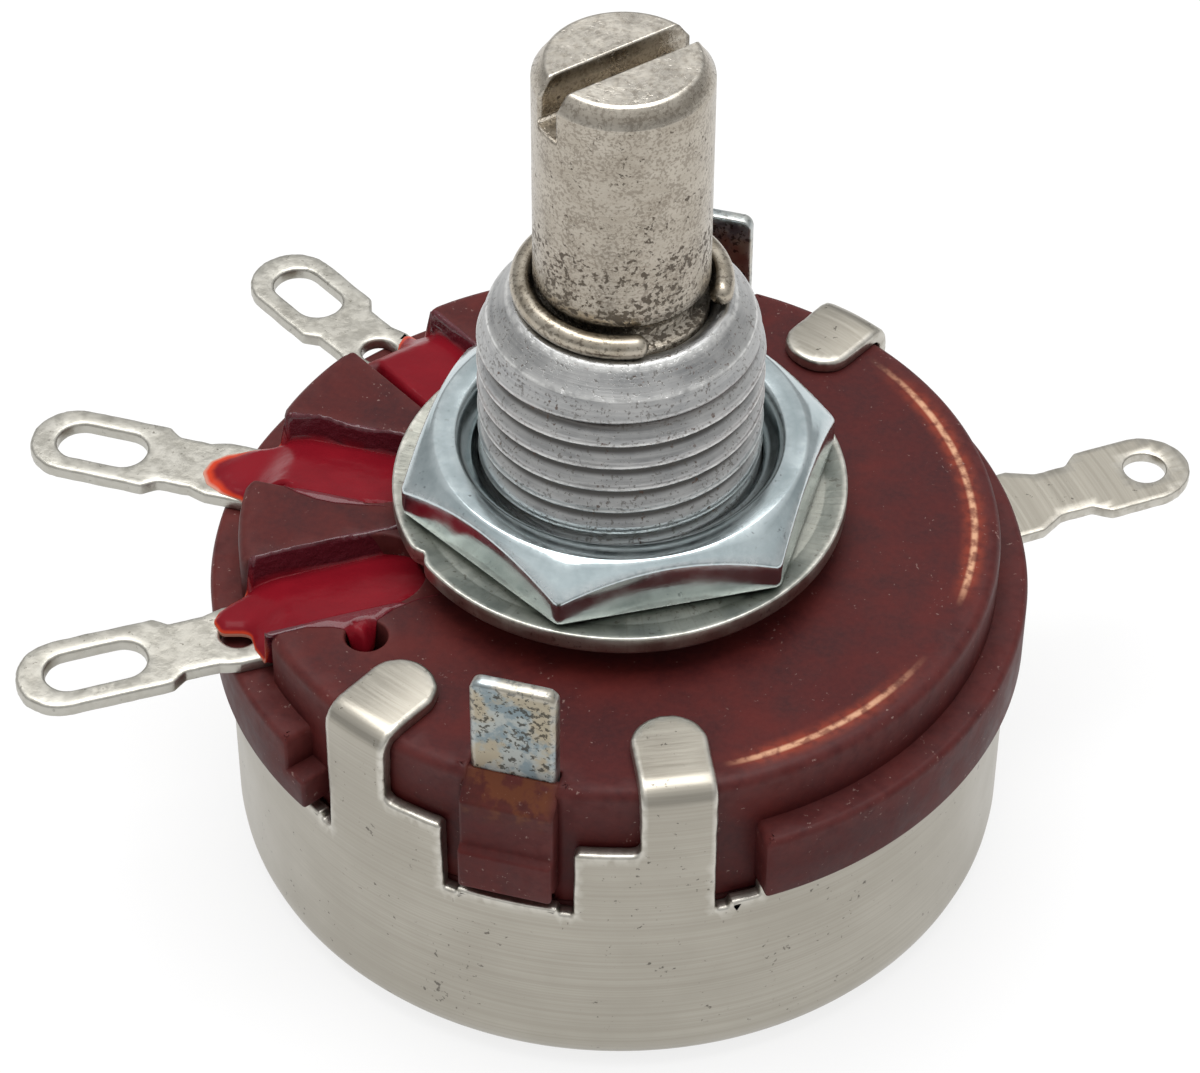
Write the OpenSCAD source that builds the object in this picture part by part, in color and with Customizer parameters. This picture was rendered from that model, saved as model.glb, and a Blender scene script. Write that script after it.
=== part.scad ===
// Panel potentiometer with a moulded body, a drawn steel can, three solder
// terminals, a ground lug and a slotted shaft. The origin is the centre of the
// can's bottom face, +Z runs to the shaft tip, the middle terminal points along
// -X and the two locating tabs stand on the Y axis. All sizes in millimetres.

/* [Can] */
// Outer diameter of the drawn can
can_d = 28.2; // [27.6:0.1:29.4]
// Sheet thickness of the can and its tabs
can_wall = 0.5; // [0.4:0.05:0.6]
// Outer radius of the rounded bottom corner
can_corner_r = 1.4; // [1.1:0.1:2]
// Height of the low rim seen in the windows
rim_z = 8.2; // [8:0.1:8.6]
// Rise of the rim where the body's flange sits on it
seat_rise = 0.4; // [0.3:0.05:0.6]
// Rise of the shoulders beside each window
shoulder_rise = 2.8; // [2:0.1:3.4]
// Half angle of each window
window_half = 9.5; // [9:0.25:11]
// Angle of each folded tab from the Y axis
tab_angle = 24; // [22:0.5:26]
// Width of a folded tab
tab_w = 2.6; // [2.2:0.1:3]
// Length of the tab's leaf over the body, from the can's outside
tab_leaf = 3.7; // [3:0.1:4.4]
// Inner radius of the tab's fold
tab_bend_r = 0.35; // [0.35:0.05:0.5]

/* [Ground lug] */
// Direction of the ground lug
lug_angle = 37.4; // [30:0.5:42]
// Reach of the lug beyond the can's wall
lug_reach = 8.9; // [7.5:0.1:10]
// Width of the lug's eye
lug_w = 3.4; // [3:0.1:4]
// Width of the lug's neck
lug_neck_w = 2.4; // [2:0.1:2.8]
// Length of the lug's wide root beyond the can's wall
lug_root_len = 2.3; // [1.9:0.1:2.6]
// Length of the taper at each end of the lug's neck
lug_taper = 0.9; // [0.6:0.1:1.1]
// Length of the lug's narrow neck
lug_neck_len = 1.3; // [0.9:0.1:1.6]
// Diameter of the lug's round hole
lug_hole_d = 1.6; // [1.2:0.1:2]

/* [Moulded body] */
// Height of the body from the can's seat to its top face
body_h = 4.8; // [4.5:0.1:5.2]
// Height of the flange
flange_h = 2.7; // [2.3:0.1:2.7]
// How far the flange stands out past the can
flange_over = 0.5; // [0.3:0.05:0.8]
// Half angle of the gap in the flange at each locating tab
flange_gap_half = 35.7; // [34:0.5:38]
// Extra angle of the low step at the flange's ends on the terminal side
flange_step_angle = 3.5; // [2.5:0.25:4.5]
// Height of that low step
flange_step_h = 1.3; // [1:0.1:1.6]
// Rounding of the body's top edge
body_edge_r = 0.4; // [0.4:0.05:0.6]
// Depth of the body below the can's seat
body_below = 1.2; // [1.2:0.05:1.4]
// Height of the skirt under the body's rim
skirt_h = 1.6; // [1.2:0.1:2]
// Wall of that skirt
skirt_wall = 0.55; // [0.45:0.05:0.6]
// Width of a guide block
block_w = 3.3; // [3.2:0.1:3.6]
// Height of the guide block's wider foot
block_foot_h = 1.8; // [1.4:0.1:2.2]
// Drop of the sloped face above the guide block
block_slope = 0.8; // [0.6:0.1:1]
// Diameter of the small blind hole in the top
pip_d = 1.5; // [1.2:0.1:1.8]
// Distance from that hole's middle to the body's side
pip_inset = 2.9; // [2.5:0.1:3.3]
// Direction of that hole
pip_angle = -129.4; // [-130:0.2:-127]
// Depth of that hole
pip_depth = 1.6; // [1:0.1:2]

/* [Terminals] */
// Angle between neighbouring terminals
term_pitch = 34; // [33:0.5:36]
// Thickness of the terminal sheet
term_t = 0.5; // [0.4:0.05:0.6]
// Reach of the terminals beyond the can's wall
term_reach = 7.8; // [7:0.1:8.6]
// Width of the terminal's eye
term_eye_w = 3.3; // [3:0.1:3.6]
// Width of the neck behind the eye
term_neck_w = 2.5; // [2.2:0.1:2.7]
// Width of the terminal where it lies in the body
term_root_w = 2.9; // [2.7:0.1:3.1]
// Width of the solder slot
slot_w = 1.8; // [1.5:0.1:2]
// Length of the solder slot
slot_len = 3.6; // [3.2:0.1:3.8]
// Diameter of the small round hole near the body
term_hole_d = 1.3; // [1.1:0.1:1.5]
// Width of a channel in the body's top
channel_w = 3.6; // [3.5:0.1:4]
// Depth of a channel
channel_depth = 2.1; // [1.9:0.1:2.3]
// Length of a channel, from the body's side to its inner end
channel_len = 6.3; // [5.9:0.1:6.5]
// Diameter of the rivets' shanks
rivet_d = 1.5; // [1.3:0.1:1.6]
// Diameter of the rivets' upper heads
rivet_head_d = 2.4; // [2.2:0.1:2.6]
// Diameter of the rivets' lower heads
rivet_foot_d = 2; // [1.9:0.1:2.1]
// Height of a rivet's head
rivet_head_h = 0.4; // [0.3:0.05:0.5]
// Distance from the outer rivets to the body's side
rivet_inset = 1.8; // [1.7:0.05:1.9]
// Distance from the collector ring's rim to the middle rivet
rivet_past_ring = 1.2; // [1.15:0.05:1.4]

/* [Locating strip] */
// Width of the strip and its two tabs
strip_w = 3; // [2.7:0.1:3.1]
// Thickness of the strip
strip_t = 0.55; // [0.45:0.05:0.6]
// Height of the tabs above the body's top face
strip_rise = 3.9; // [3:0.1:5]
// Distance from the tab's outer face to the body's side
strip_inset = 0.45; // [0.4:0.05:0.6]
// Radius of the tabs' top corners
strip_corner_r = 0.4; // [0.2:0.1:0.8]
// Width of the strip's ring round the bushing
strip_ring_w = 1.25; // [1.1:0.05:1.35]

/* [Bushing, washer and nut] */
// Outer diameter of the threaded neck
neck_d = 9.9; // [9.6:0.1:10]
// Height of the neck above the body's top face
neck_h = 10.4; // [9.5:0.1:11.5]
// Height of the upper cone at the neck's end
cone_h = 0.9; // [0.7:0.1:1.1]
// Height of the slight cone below it
runout_h = 1; // [0.6:0.1:1.4]
// Diameter where the two cones meet
cone_d = 9.2; // [9:0.1:9.4]
// Diameter of the neck's flat end
neck_end_d = 7.6; // [7.4:0.1:8]
// Thickness of the shoulder on the body
shoulder_t = 1; // [0.8:0.1:1.2]
// Diameter of that shoulder
shoulder_d = 13; // [12.4:0.1:13.6]
// Diameter of the shank through the body
shank_d = 8.6; // [8.4:0.1:8.8]
// Diameter of the staked lip under the body
lip_d = 10; // [9.8:0.1:10.4]
// Thickness of that lip
lip_t = 0.6; // [0.5:0.05:0.65]
// Thickness of the flat washer
washer_t = 0.75; // [0.6:0.05:0.9]
// Outer diameter of the washer
washer_d = 16; // [15.4:0.1:16.6]
// Diameter of the washer's hole
washer_hole_d = 10.3; // [10.1:0.1:10.6]
// Width across the nut's flats
nut_af = 13.6; // [13:0.1:14]
// Thickness of the nut
nut_t = 2.3; // [2:0.1:2.8]
// Diameter of the nut's chamfer circle on its top face
nut_face_d = 12.7; // [12.2:0.1:12.9]
// Diameter of the countersink in the nut's top
nut_sink_d = 11.5; // [11:0.1:11.8]
// Depth of that countersink
nut_sink_h = 0.7; // [0.5:0.1:0.9]

/* [Shaft and clip] */
// Diameter of the shaft
shaft_d = 6; // [5.8:0.05:6.1]
// Height of the shaft's tip above the body's top face
shaft_h = 20.1; // [17:0.1:30]
// Height of the chamfer at the tip
tip_h = 0.64; // [0.4:0.02:0.9]
// Inset of the chamfer at the tip
tip_inset = 0.45; // [0.3:0.05:0.6]
// Width of the screwdriver slot
driver_w = 1.05; // [0.8:0.05:1.3]
// Depth of the screwdriver slot
driver_depth = 1.7; // [1.2:0.1:2.2]
// Direction of the screwdriver slot
driver_angle = 50; // [0:1:180]
// Diameter of the wire of the retaining clip
wire_d = 0.84; // [0.7:0.02:0.9]
// Outer diameter of the retaining clip
clip_d = 7.6; // [7.4:0.1:7.8]
// Direction where the clip's gap starts
clip_gap_from = -66; // [-90:1:-40]
// Angle that the clip's gap takes
clip_gap = 71; // [40:1:90]
// Depth of the clip's groove in the shaft
groove_depth = 0.45; // [0.35:0.05:0.6]
// Diameter of the shaft's collar under the bushing
collar_d = 8; // [7.6:0.1:8.4]
// Thickness of the thrust washer
thrust_t = 0.58; // [0.4:0.02:0.6]
// Diameter of the shaft's lower spigot
spigot_d = 4.4; // [4.2:0.1:4.8]
// Width across the spigot's two flats
spigot_af = 3.4; // [3.2:0.1:3.8]
// Diameter of the upset head that holds the rotor
upset_d = 5.4; // [5.2:0.1:6]
// Height of that head
upset_h = 0.7; // [0.5:0.1:0.9]

/* [Track, rotor and brushes] */
// Thickness of the resistance track
track_t = 0.6; // [0.4:0.05:0.7]
// Width of the track
track_w = 4.5; // [4.3:0.1:4.7]
// Distance from the track's rim to the body's side
track_inset = 0.8; // [0.7:0.05:0.9]
// Angle of track past each outer rivet
track_past = 6; // [5.5:0.5:7]
// Thickness of the collector ring
ring_t = 0.5; // [0.4:0.05:0.6]
// Width of the collector ring
ring_w = 1.8; // [1.6:0.05:1.85]
// Gap between the collector ring and the track
ring_gap = 0.4; // [0.3:0.05:0.6]
// Depth of the room between the body's underside and the rotor
rotor_room = 2.8; // [2.8:0.05:3]
// Thickness of the rotor disc
rotor_t = 1.2; // [1:0.05:1.4]
// Gap between the rotor disc's rim and the stop
rotor_gap = 0.5; // [0.3:0.05:0.9]
// Gap between the stop arm's end and the skirt
arm_gap = 0.35; // [0.2:0.05:0.5]
// Half angle of the stop arm
arm_half = 15; // [12:0.5:18]
// Total angle that the shaft turns
turn_range = 280; // [270:1:290]
// Gap between the arm and the stop at each end of the turn
stop_gap_angle = 0.5; // [0.3:0.1:1]
// Depth of the stop, in from the body's side
stop_w = 1.6; // [1.4:0.05:1.6]
// Height of the stop below the body's underside
stop_h = 3.8; // [3.5:0.1:4]
// Thickness of the wiper's spring sheet
spring_t = 0.25; // [0.2:0.01:0.3]
// Diameter of the spring's hub
hub_d = 9.6; // [9.2:0.1:9.8]
// Width of the spring's arms
spring_w = 2.2; // [1.8:0.1:2.4]
// Rise of the arms to the brushes
spring_rise = 1; // [0.8:0.05:1.1]
// Width of a brush
brush_w = 1.6; // [1.3:0.1:1.6]
// Distance from the track's inner edge to the outer brush's middle
brush_inset = 1.1; // [1.1:0.05:1.2]
// Thickness of the insulating paper on the can's bottom
paper_t = 0.3; // [0.2:0.05:0.4]

/* [Fits] */
// Radial clearance of the shaft in the bushing
shaft_fit = 0.03; // [0.02:0.01:0.05]
// Radial clearance of the nut on the neck
neck_fit = 0.05; // [0.04:0.01:0.1]
// Clearance of fixed pieces in their seats
seat_fit = 0.05; // [0.04:0.01:0.08]
// Clearance of the body in the can
can_fit = 0.1; // [0.05:0.01:0.15]
// Clearance of the brushes and the thrust washer
slide_fit = 0.02; // [0.02:0.01:0.04]

/* [Hidden] */
$fn = 96;
eps = 0.02;
far = 40;

can_r = can_d / 2;
can_in_r = can_r - can_wall;
body_r = can_in_r - can_fit;
flange_r = can_r + flange_over;
seat_z = rim_z + seat_rise;
body_top = seat_z + body_h;
flange_top = seat_z + flange_h;
body_low = seat_z - body_below;
shoulder_z = rim_z + shoulder_rise;
pip_r = body_r - pip_inset;
channel_in_r = body_r - channel_len;
track_out_r = body_r - track_inset;
track_in_r = track_out_r - track_w;
ring_out_r = track_in_r - ring_gap;
ring_in_r = ring_out_r - ring_w;
rivet_out_r = body_r - rivet_inset;
rivet_in_r = ring_out_r + rivet_past_ring;
stop_in_r = body_r - stop_w;
rotor_r = stop_in_r - rotor_gap;
arm_r = body_r - skirt_wall - arm_gap;
brush_out_r = track_in_r + brush_inset;
brush_in_r = (ring_in_r + ring_out_r) / 2;
tab_top = body_top + can_wall;
bend_out_r = tab_bend_r + can_wall;
tab_tip_r = can_r - tab_leaf;
lug_z = seat_z - can_wall;
lug_end_r = can_r + lug_reach;

channel_z = body_top - channel_depth;
term_top = channel_z + term_t;
term_end_r = can_r + term_reach;
term_angles = [180 - term_pitch, 180, 180 + term_pitch];
rivet_radii = [rivet_out_r, rivet_in_r, rivet_out_r];
rivet_r = rivet_d / 2;
slot_end_wall = 1;
lacquer_top = body_top - 0.5;

strip_face = body_r - strip_inset;
strip_top = body_top + strip_rise;
strip_z = seat_z - strip_t;
strip_hole_r = shank_d / 2 + seat_fit;
strip_ring_r = strip_hole_r + strip_ring_w;
strip_recess_r = strip_ring_r + 0.2;
block_face = can_r - can_fit;
block_foot_face = can_r + 0.2;

bore_r = shaft_d / 2 + shaft_fit;
neck_r = neck_d / 2;
neck_top = body_top + neck_h;
cone_z = neck_top - cone_h;
thread_z = cone_z - runout_h;
washer_z = body_top + shoulder_t;
nut_z = washer_z + washer_t;
nut_top = nut_z + nut_t;

track_z = body_low - track_t;
ring_z = body_low - ring_t;
rotor_top = body_low - rotor_room;
rotor_z = rotor_top - rotor_t;
spring_z = rotor_top + spring_t;
holder_z = spring_z + spring_rise;
bush_low = body_low - 0.8;
thrust_z = bush_low - slide_fit - thrust_t;
collar_top = thrust_z - slide_fit;

shaft_r = shaft_d / 2;
shaft_top = body_top + shaft_h;
wire_r = wire_d / 2;
clip_r = clip_d / 2 - wire_r;
clip_z = neck_top + slide_fit + wire_r;
groove_top = neck_top + wire_d + 0.06;
groove_low = neck_top - 0.15;
stop_half = 180 - turn_range / 2 - arm_half - stop_gap_angle;
track_half = 180 - term_pitch + track_past;

steel = "#a8a398";
bakelite = "#57211f";
lacquer_red = "#8c1f2a";
tinned = "#b3b1a6";
zinc = "#b7bdc1";
bronze = "#a9793c";

// A wedge of space from angle a0 to a1, from height z0 to z1
module sector(a0, a1, z0, z1, r = far) {
    mid = (a0 + a1) / 2;
    translate([0, 0, z0])
        linear_extrude(z1 - z0)
            polygon([
                [0, 0],
                [r * cos(a0), r * sin(a0)],
                [1.6 * r * cos(mid), 1.6 * r * sin(mid)],
                [r * cos(a1), r * sin(a1)]
            ]);
}

// A tube from height z0 to z1
module tube(ro, ri, z0, z1) {
    translate([0, 0, z0])
        difference() {
            cylinder(r = ro, h = z1 - z0);
            translate([0, 0, -eps]) cylinder(r = ri, h = z1 - z0 + 2 * eps);
        }
}

// A strip of width w from x0 to x1 with a half-round end at x1
module round_strip(x0, x1, w) {
    translate([x0, -w / 2]) square([x1 - w / 2 - x0, w]);
    translate([x1 - w / 2, 0]) circle(d = w);
}

// The four tabs stand in pairs beside the two windows
module at_tabs() {
    for (base = [-90, 90], side = [-1, 1])
        rotate(base + side * tab_angle) children();
}

// Section of the can: flat bottom, rounded corner and straight wall
module can_section(top) {
    corner_x = can_r - can_corner_r;
    square([corner_x, can_wall]);
    translate([corner_x, can_corner_r])
        intersection() {
            difference() {
                circle(r = can_corner_r);
                circle(r = can_corner_r - can_wall);
            }
            translate([0, -can_corner_r]) square(can_corner_r);
        }
    translate([can_in_r, can_corner_r]) square([can_wall, top - can_corner_r]);
}

// Section of a folded tab: wall, bend and leaf over the body's top
module tab_section() {
    bend_x = can_r - bend_out_r;
    bend_z = tab_top - bend_out_r;
    translate([can_in_r, rim_z - 1]) square([can_wall, bend_z - rim_z + 1]);
    translate([bend_x, bend_z])
        intersection() {
            difference() {
                circle(r = bend_out_r);
                circle(r = tab_bend_r);
            }
            square(bend_out_r);
        }
    translate([tab_tip_r, body_top]) square([bend_x - tab_tip_r, can_wall]);
}

module folded_tabs() {
    intersection() {
        rotate_extrude() tab_section();
        at_tabs()
            translate([0, 0, rim_z - 1])
                linear_extrude(tab_top)
                    mirror([1, 0]) round_strip(-can_r - 1, -tab_tip_r, tab_w);
    }
}

// The lug is bent out of the rim under the body's flange
module ground_lug() {
    eye_r = lug_end_r - lug_w / 2;
    root_out = can_r + lug_root_len;
    neck_in = root_out + lug_taper;
    neck_out = neck_in + lug_neck_len;
    rotate(lug_angle)
        translate([0, 0, lug_z])
            linear_extrude(can_wall)
                difference() {
                    union() {
                        translate([eye_r, 0]) circle(d = lug_w);
                        polygon([
                            [can_in_r + 0.2, -lug_w / 2], [root_out, -lug_w / 2],
                            [neck_in, -lug_neck_w / 2], [neck_out, -lug_neck_w / 2],
                            [neck_out + lug_taper, -lug_w / 2], [eye_r, -lug_w / 2],
                            [eye_r, lug_w / 2], [neck_out + lug_taper, lug_w / 2],
                            [neck_out, lug_neck_w / 2], [neck_in, lug_neck_w / 2],
                            [root_out, lug_w / 2], [can_in_r + 0.2, lug_w / 2]
                        ]);
                    }
                    translate([eye_r, 0]) circle(d = lug_hole_d);
                    circle(r = can_in_r + 0.1);
                }
}

// Drawn cup with two windows, four folded tabs, a seat for the flange and
// the ground lug, all in one sheet
module can() {
    tab_half = asin(tab_w / 2 / can_r);
    nick_r = 0.25;
    color(steel)
        difference() {
            union() {
                intersection() {
                    rotate_extrude() can_section(shoulder_z);
                    union() {
                        cylinder(r = far, h = rim_z);
                        for (side = [0, 180])
                            sector(side - 90 + flange_gap_half, side + 90 - flange_gap_half,
                                   rim_z - 1, seat_z);
                        for (base = [-90, 90], side = [-1, 1])
                            sector(base + side * window_half, base + side * tab_angle,
                                   rim_z - 1, shoulder_z);
                    }
                }
                folded_tabs();
                ground_lug();
            }
            // small relief nicks at the tabs' roots and the windows' corners
            for (base = [-90, 90], side = [-1, 1], a = [window_half - 1, tab_angle + tab_half + 1])
                rotate(base + side * a)
                    translate([can_in_r - 1, 0, rim_z])
                        rotate([0, 90, 0]) cylinder(r = nick_r, h = 3);
        }
}

// Disc of insulating paper on the can's bottom
module insulator_disc() {
    color("#b89a6a")
        translate([0, 0, can_wall])
            cylinder(r = can_r - can_corner_r - 0.2, h = paper_t);
}

// One channel, open to the side, with a round inner end
module channel(angle) {
    rotate(angle)
        translate([0, 0, channel_z])
            linear_extrude(channel_depth + 1)
                mirror([1, 0])
                    round_strip(-flange_r - 1, -channel_in_r, channel_w);
}

// Block in the can's window, with the slot that guides a locating tab
module guide_block() {
    slope_out = block_face - strip_face - seat_fit;
    foot_top = seat_z + block_foot_h;
    rotate([90, 0, 90])
        translate([0, 0, -block_w / 2])
            linear_extrude(block_w)
                polygon([
                    [strip_face - 2.5, seat_z + 0.1], [block_foot_face, seat_z + 0.1],
                    [block_foot_face, foot_top], [block_face, foot_top + 0.1],
                    [block_face, body_top - block_slope],
                    [block_face - slope_out, body_top], [strip_face - 2.5, body_top]
                ]);
}

module guide_slot() {
    slot_half = strip_w / 2 + seat_fit;
    translate([-slot_half, strip_face - strip_t - seat_fit, body_low - 1])
        cube([2 * slot_half, strip_t + 2 * seat_fit, body_top]);
}

// Flange sectors on both sides, with a low step at the terminal side's ends
module flange() {
    half = 90 - flange_gap_half;
    edge = 0.3;
    intersection() {
        rotate_extrude()
            difference() {
                translate([body_r - 1, seat_z]) square([flange_r - body_r + 1, flange_h]);
                translate([flange_r - edge, flange_top - edge])
                    difference() {
                        square(edge + 1);
                        circle(r = edge);
                    }
            }
        union() {
            sector(-half, half, seat_z - 1, body_top);
            sector(180 - half, 180 + half, seat_z - 1, body_top);
            sector(180 - half - flange_step_angle, 180 + half + flange_step_angle,
                   seat_z - 1, seat_z + flange_step_h);
        }
    }
}

// Moulded disc with flange, skirt, stop, channels and seats for the metal
// pieces that are riveted or staked to it
module bakelite_body() {
    shank_hole_r = shank_d / 2 + seat_fit;
    groove_half = strip_w / 2 + 0.1;
    flat_r = body_r - body_edge_r;
    color(bakelite)
        difference() {
            union() {
                rotate_extrude() {
                    translate([0, body_low]) square([body_r, body_h + body_below - body_edge_r]);
                    translate([0, body_low]) square([flat_r, body_h + body_below]);
                    translate([flat_r, body_top - body_edge_r])
                        intersection() {
                            circle(r = body_edge_r);
                            square(body_edge_r);
                        }
                    translate([body_r - skirt_wall, body_low - skirt_h])
                        square([skirt_wall, skirt_h + 0.1]);
                }
                flange();
                for (turn = [0, 180]) rotate(turn) guide_block();
                intersection() {
                    tube(body_r, stop_in_r, body_low - stop_h, body_low + 0.1);
                    sector(180 - stop_half, 180 + stop_half, 0, body_top);
                }
            }
            for (angle = term_angles) channel(angle);
            for (i = [0:2])
                rotate(term_angles[i])
                    translate([rivet_radii[i], 0, 0])
                        cylinder(r = rivet_r + seat_fit, h = body_top);
            for (turn = [0, 180]) rotate(turn) guide_slot();
            translate([-groove_half, -strip_face - seat_fit, body_low - 1])
                cube([2 * groove_half, 2 * (strip_face + seat_fit), seat_z - body_low + 1]);
            translate([0, 0, body_low - 1])
                cylinder(r = strip_recess_r, h = seat_z - body_low + 1);
            cylinder(r = shank_hole_r, h = body_top + 1);
            rotate(pip_angle)
                translate([pip_r, 0, body_top - pip_depth])
                    cylinder(d = pip_d, h = pip_depth + 1);
        }
}

// Outline of one upright tab with rounded top corners
module tab_outline(z0) {
    half = strip_w / 2;
    translate([-half, z0]) square([strip_w, strip_top - strip_corner_r - z0]);
    translate([-half + strip_corner_r, z0])
        square([strip_w - 2 * strip_corner_r, strip_top - z0]);
    for (side = [-1, 1])
        translate([side * (half - strip_corner_r), strip_top - strip_corner_r])
            circle(r = strip_corner_r);
}

// Strip clamped under the body by the bushing, with both ends bent up
// through the body as locating tabs
module locating_strip() {
    color(zinc)
        difference() {
            union() {
                translate([-strip_w / 2, -strip_face, strip_z])
                    cube([strip_w, 2 * strip_face, strip_t]);
                translate([0, 0, strip_z]) cylinder(r = strip_ring_r, h = strip_t);
                for (turn = [0, 180])
                    rotate(turn)
                        translate([0, strip_face, 0])
                            rotate([90, 0, 0]) linear_extrude(strip_t) tab_outline(strip_z);
            }
            cylinder(r = strip_hole_r, h = body_top);
        }
}

// Cast bushing: staked lip, shank, shoulder, threaded neck and end cones
module bushing() {
    sink_r = bore_r + 0.37;
    sink_h = 0.35;
    color(zinc)
        rotate_extrude()
            polygon([
                [bore_r, bush_low], [shank_d / 2, bush_low],
                [shank_d / 2, strip_z - lip_t], [lip_d / 2, strip_z - lip_t],
                [lip_d / 2, strip_z], [shank_d / 2, strip_z],
                [shank_d / 2, body_top], [shoulder_d / 2, body_top],
                [shoulder_d / 2, washer_z], [neck_r, washer_z],
                [neck_r, thread_z], [cone_d / 2, cone_z],
                [neck_end_d / 2, neck_top], [sink_r, neck_top],
                [bore_r, neck_top - sink_h]
            ]);
}

module washer() {
    color(zinc)
        difference() {
            tube(washer_d / 2, washer_hole_d / 2, washer_z, nut_z);
            // punching nick in the rim
            rotate(-134.7)
                translate([washer_d / 2 + 0.15, 0, washer_z - 1])
                    cylinder(r = 0.35, h = washer_t + 2);
        }
}

// Hexagon nut, chamfered round its top, with a countersunk hole
module hex_nut() {
    corner_r = nut_af / 2 / cos(30);
    face_r = nut_face_d / 2;
    fall = corner_r - face_r;
    drop = fall * tan(30);
    hole_r = neck_r + neck_fit;
    color(zinc)
        difference() {
            intersection() {
                translate([0, 0, nut_z])
                    rotate(30) cylinder(r = corner_r, h = nut_t, $fn = 6);
                rotate_extrude()
                    polygon([
                        [0, nut_z], [corner_r - 0.3, nut_z], [corner_r + 1, nut_z + 0.6],
                        [corner_r + 1, nut_top - drop - tan(30)],
                        [face_r, nut_top], [0, nut_top]
                    ]);
            }
            translate([0, 0, nut_z - 1]) cylinder(r = hole_r, h = nut_t + 2);
            translate([0, 0, nut_top - nut_sink_h])
                cylinder(r1 = hole_r, r2 = nut_sink_d / 2, h = nut_sink_h);
        }
}

// Outline of a terminal along +X, from its riveted root to the eye's end
module terminal_outline(root_r) {
    eye_in = term_end_r - slot_len - 2 * slot_end_wall;
    neck_out = eye_in - 0.1;
    neck_in = neck_out - 1.2;
    shoulder = neck_in - 0.7;
    eye_r = term_eye_w / 2;
    translate([term_end_r - eye_r, 0]) circle(r = eye_r);
    translate([root_r, 0]) circle(r = term_root_w / 2);
    polygon([
        [root_r, -term_root_w / 2], [shoulder, -term_root_w / 2],
        [neck_in, -term_neck_w / 2], [neck_out, -term_neck_w / 2],
        [eye_in + 0.7, -eye_r], [term_end_r - eye_r, -eye_r],
        [term_end_r - eye_r, eye_r], [eye_in + 0.7, eye_r],
        [neck_out, term_neck_w / 2], [neck_in, term_neck_w / 2],
        [shoulder, term_root_w / 2], [root_r, term_root_w / 2]
    ]);
}

module terminal(i) {
    slot_out = term_end_r - slot_end_wall - slot_w / 2;
    slot_in = slot_out - slot_len + slot_w;
    color(tinned)
        rotate(term_angles[i])
            translate([0, 0, channel_z])
                linear_extrude(term_t)
                    difference() {
                        terminal_outline(rivet_radii[i]);
                        translate([slot_in, 0]) circle(d = slot_w);
                        translate([slot_out, 0]) circle(d = slot_w);
                        translate([slot_in, -slot_w / 2]) square([slot_out - slot_in, slot_w]);
                        translate([can_r - 0.1, 0]) circle(d = term_hole_d);
                        translate([rivet_radii[i], 0]) circle(r = rivet_r + seat_fit);
                    }
}

// Rivet through terminal, body and the sheet under the body
module rivet(i) {
    foot_z = i == 1 ? ring_z : track_z;
    head_r = rivet_head_d / 2;
    foot_r = rivet_foot_d / 2;
    foot_h = rivet_head_h - 0.05;
    color(bronze)
        rotate(term_angles[i])
            translate([rivet_radii[i], 0, 0])
                rotate_extrude()
                    polygon([
                        [0, foot_z - foot_h], [foot_r - 0.15, foot_z - foot_h],
                        [foot_r, foot_z - foot_h + 0.15], [foot_r, foot_z],
                        [rivet_r, foot_z], [rivet_r, term_top],
                        [head_r, term_top], [head_r - 0.2, term_top + rivet_head_h],
                        [0, term_top + rivet_head_h]
                    ]);
}

// Horseshoe of laminate with the carbon film on its lower face
module resistance_track() {
    color("#2b2b2e")
        difference() {
            intersection() {
                tube(track_out_r, track_in_r, track_z, body_low);
                union() {
                    sector(-60, 60, 0, body_top);
                    sector(0, track_half, 0, body_top);
                    sector(-track_half, 0, 0, body_top);
                }
            }
            for (i = [0, 2])
                rotate(term_angles[i])
                    translate([rivet_radii[i], 0, 0])
                        cylinder(r = rivet_r + seat_fit, h = body_top);
        }
}

// Ring that the inner brush rides on, with an ear for the middle rivet
module collector_ring() {
    ear_w = rivet_foot_d + ring_gap * 1.5;
    color(bronze)
        difference() {
            union() {
                tube(ring_out_r, ring_in_r, ring_z, body_low);
                translate([0, 0, ring_z])
                    rotate(180)
                        linear_extrude(ring_t)
                            round_strip(ring_in_r + ring_gap, rivet_in_r + ear_w / 2, ear_w);
            }
            rotate(180)
                translate([rivet_in_r, 0, 0])
                    cylinder(r = rivet_r + seat_fit, h = body_top);
        }
}

// Red lacquer that seals a terminal's root in its channel
module lacquer(i) {
    head_clear_r = rivet_head_d / 2 + seat_fit;
    hole_r = can_r - 0.1;
    inner_r = channel_in_r + 1.2;
    outer_r = i == 0 ? hole_r - term_hole_d / 2 - 0.1 : hole_r + 0.9;
    color(lacquer_red)
        difference() {
            rotate(term_angles[i])
                rotate([90, 0, 0])
                    translate([0, 0, -channel_w / 2 + seat_fit])
                        linear_extrude(channel_w - 2 * seat_fit)
                            polygon([
                                [inner_r, term_top], [outer_r, term_top],
                                [outer_r - 0.1, term_top + 0.25], [outer_r - 0.9, term_top + 0.55],
                                [rivet_out_r, lacquer_top - 0.2], [inner_r + 1.4, lacquer_top],
                                [inner_r, lacquer_top - 0.15]
                            ]);
            rotate(term_angles[i])
                translate([rivet_radii[i], 0, term_top - 0.1])
                    cylinder(r = head_clear_r, h = rivet_head_h + 0.1 + seat_fit);
        }
}

// Round spigot with two flats that carries the rotor and the spring
module spigot(z0, z1, grow = 0) {
    intersection() {
        translate([0, 0, z0]) cylinder(r = spigot_d / 2 + grow, h = z1 - z0);
        translate([-spigot_af / 2 - grow, -spigot_d, z0])
            cube([spigot_af + 2 * grow, 2 * spigot_d, z1 - z0]);
    }
}

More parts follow.
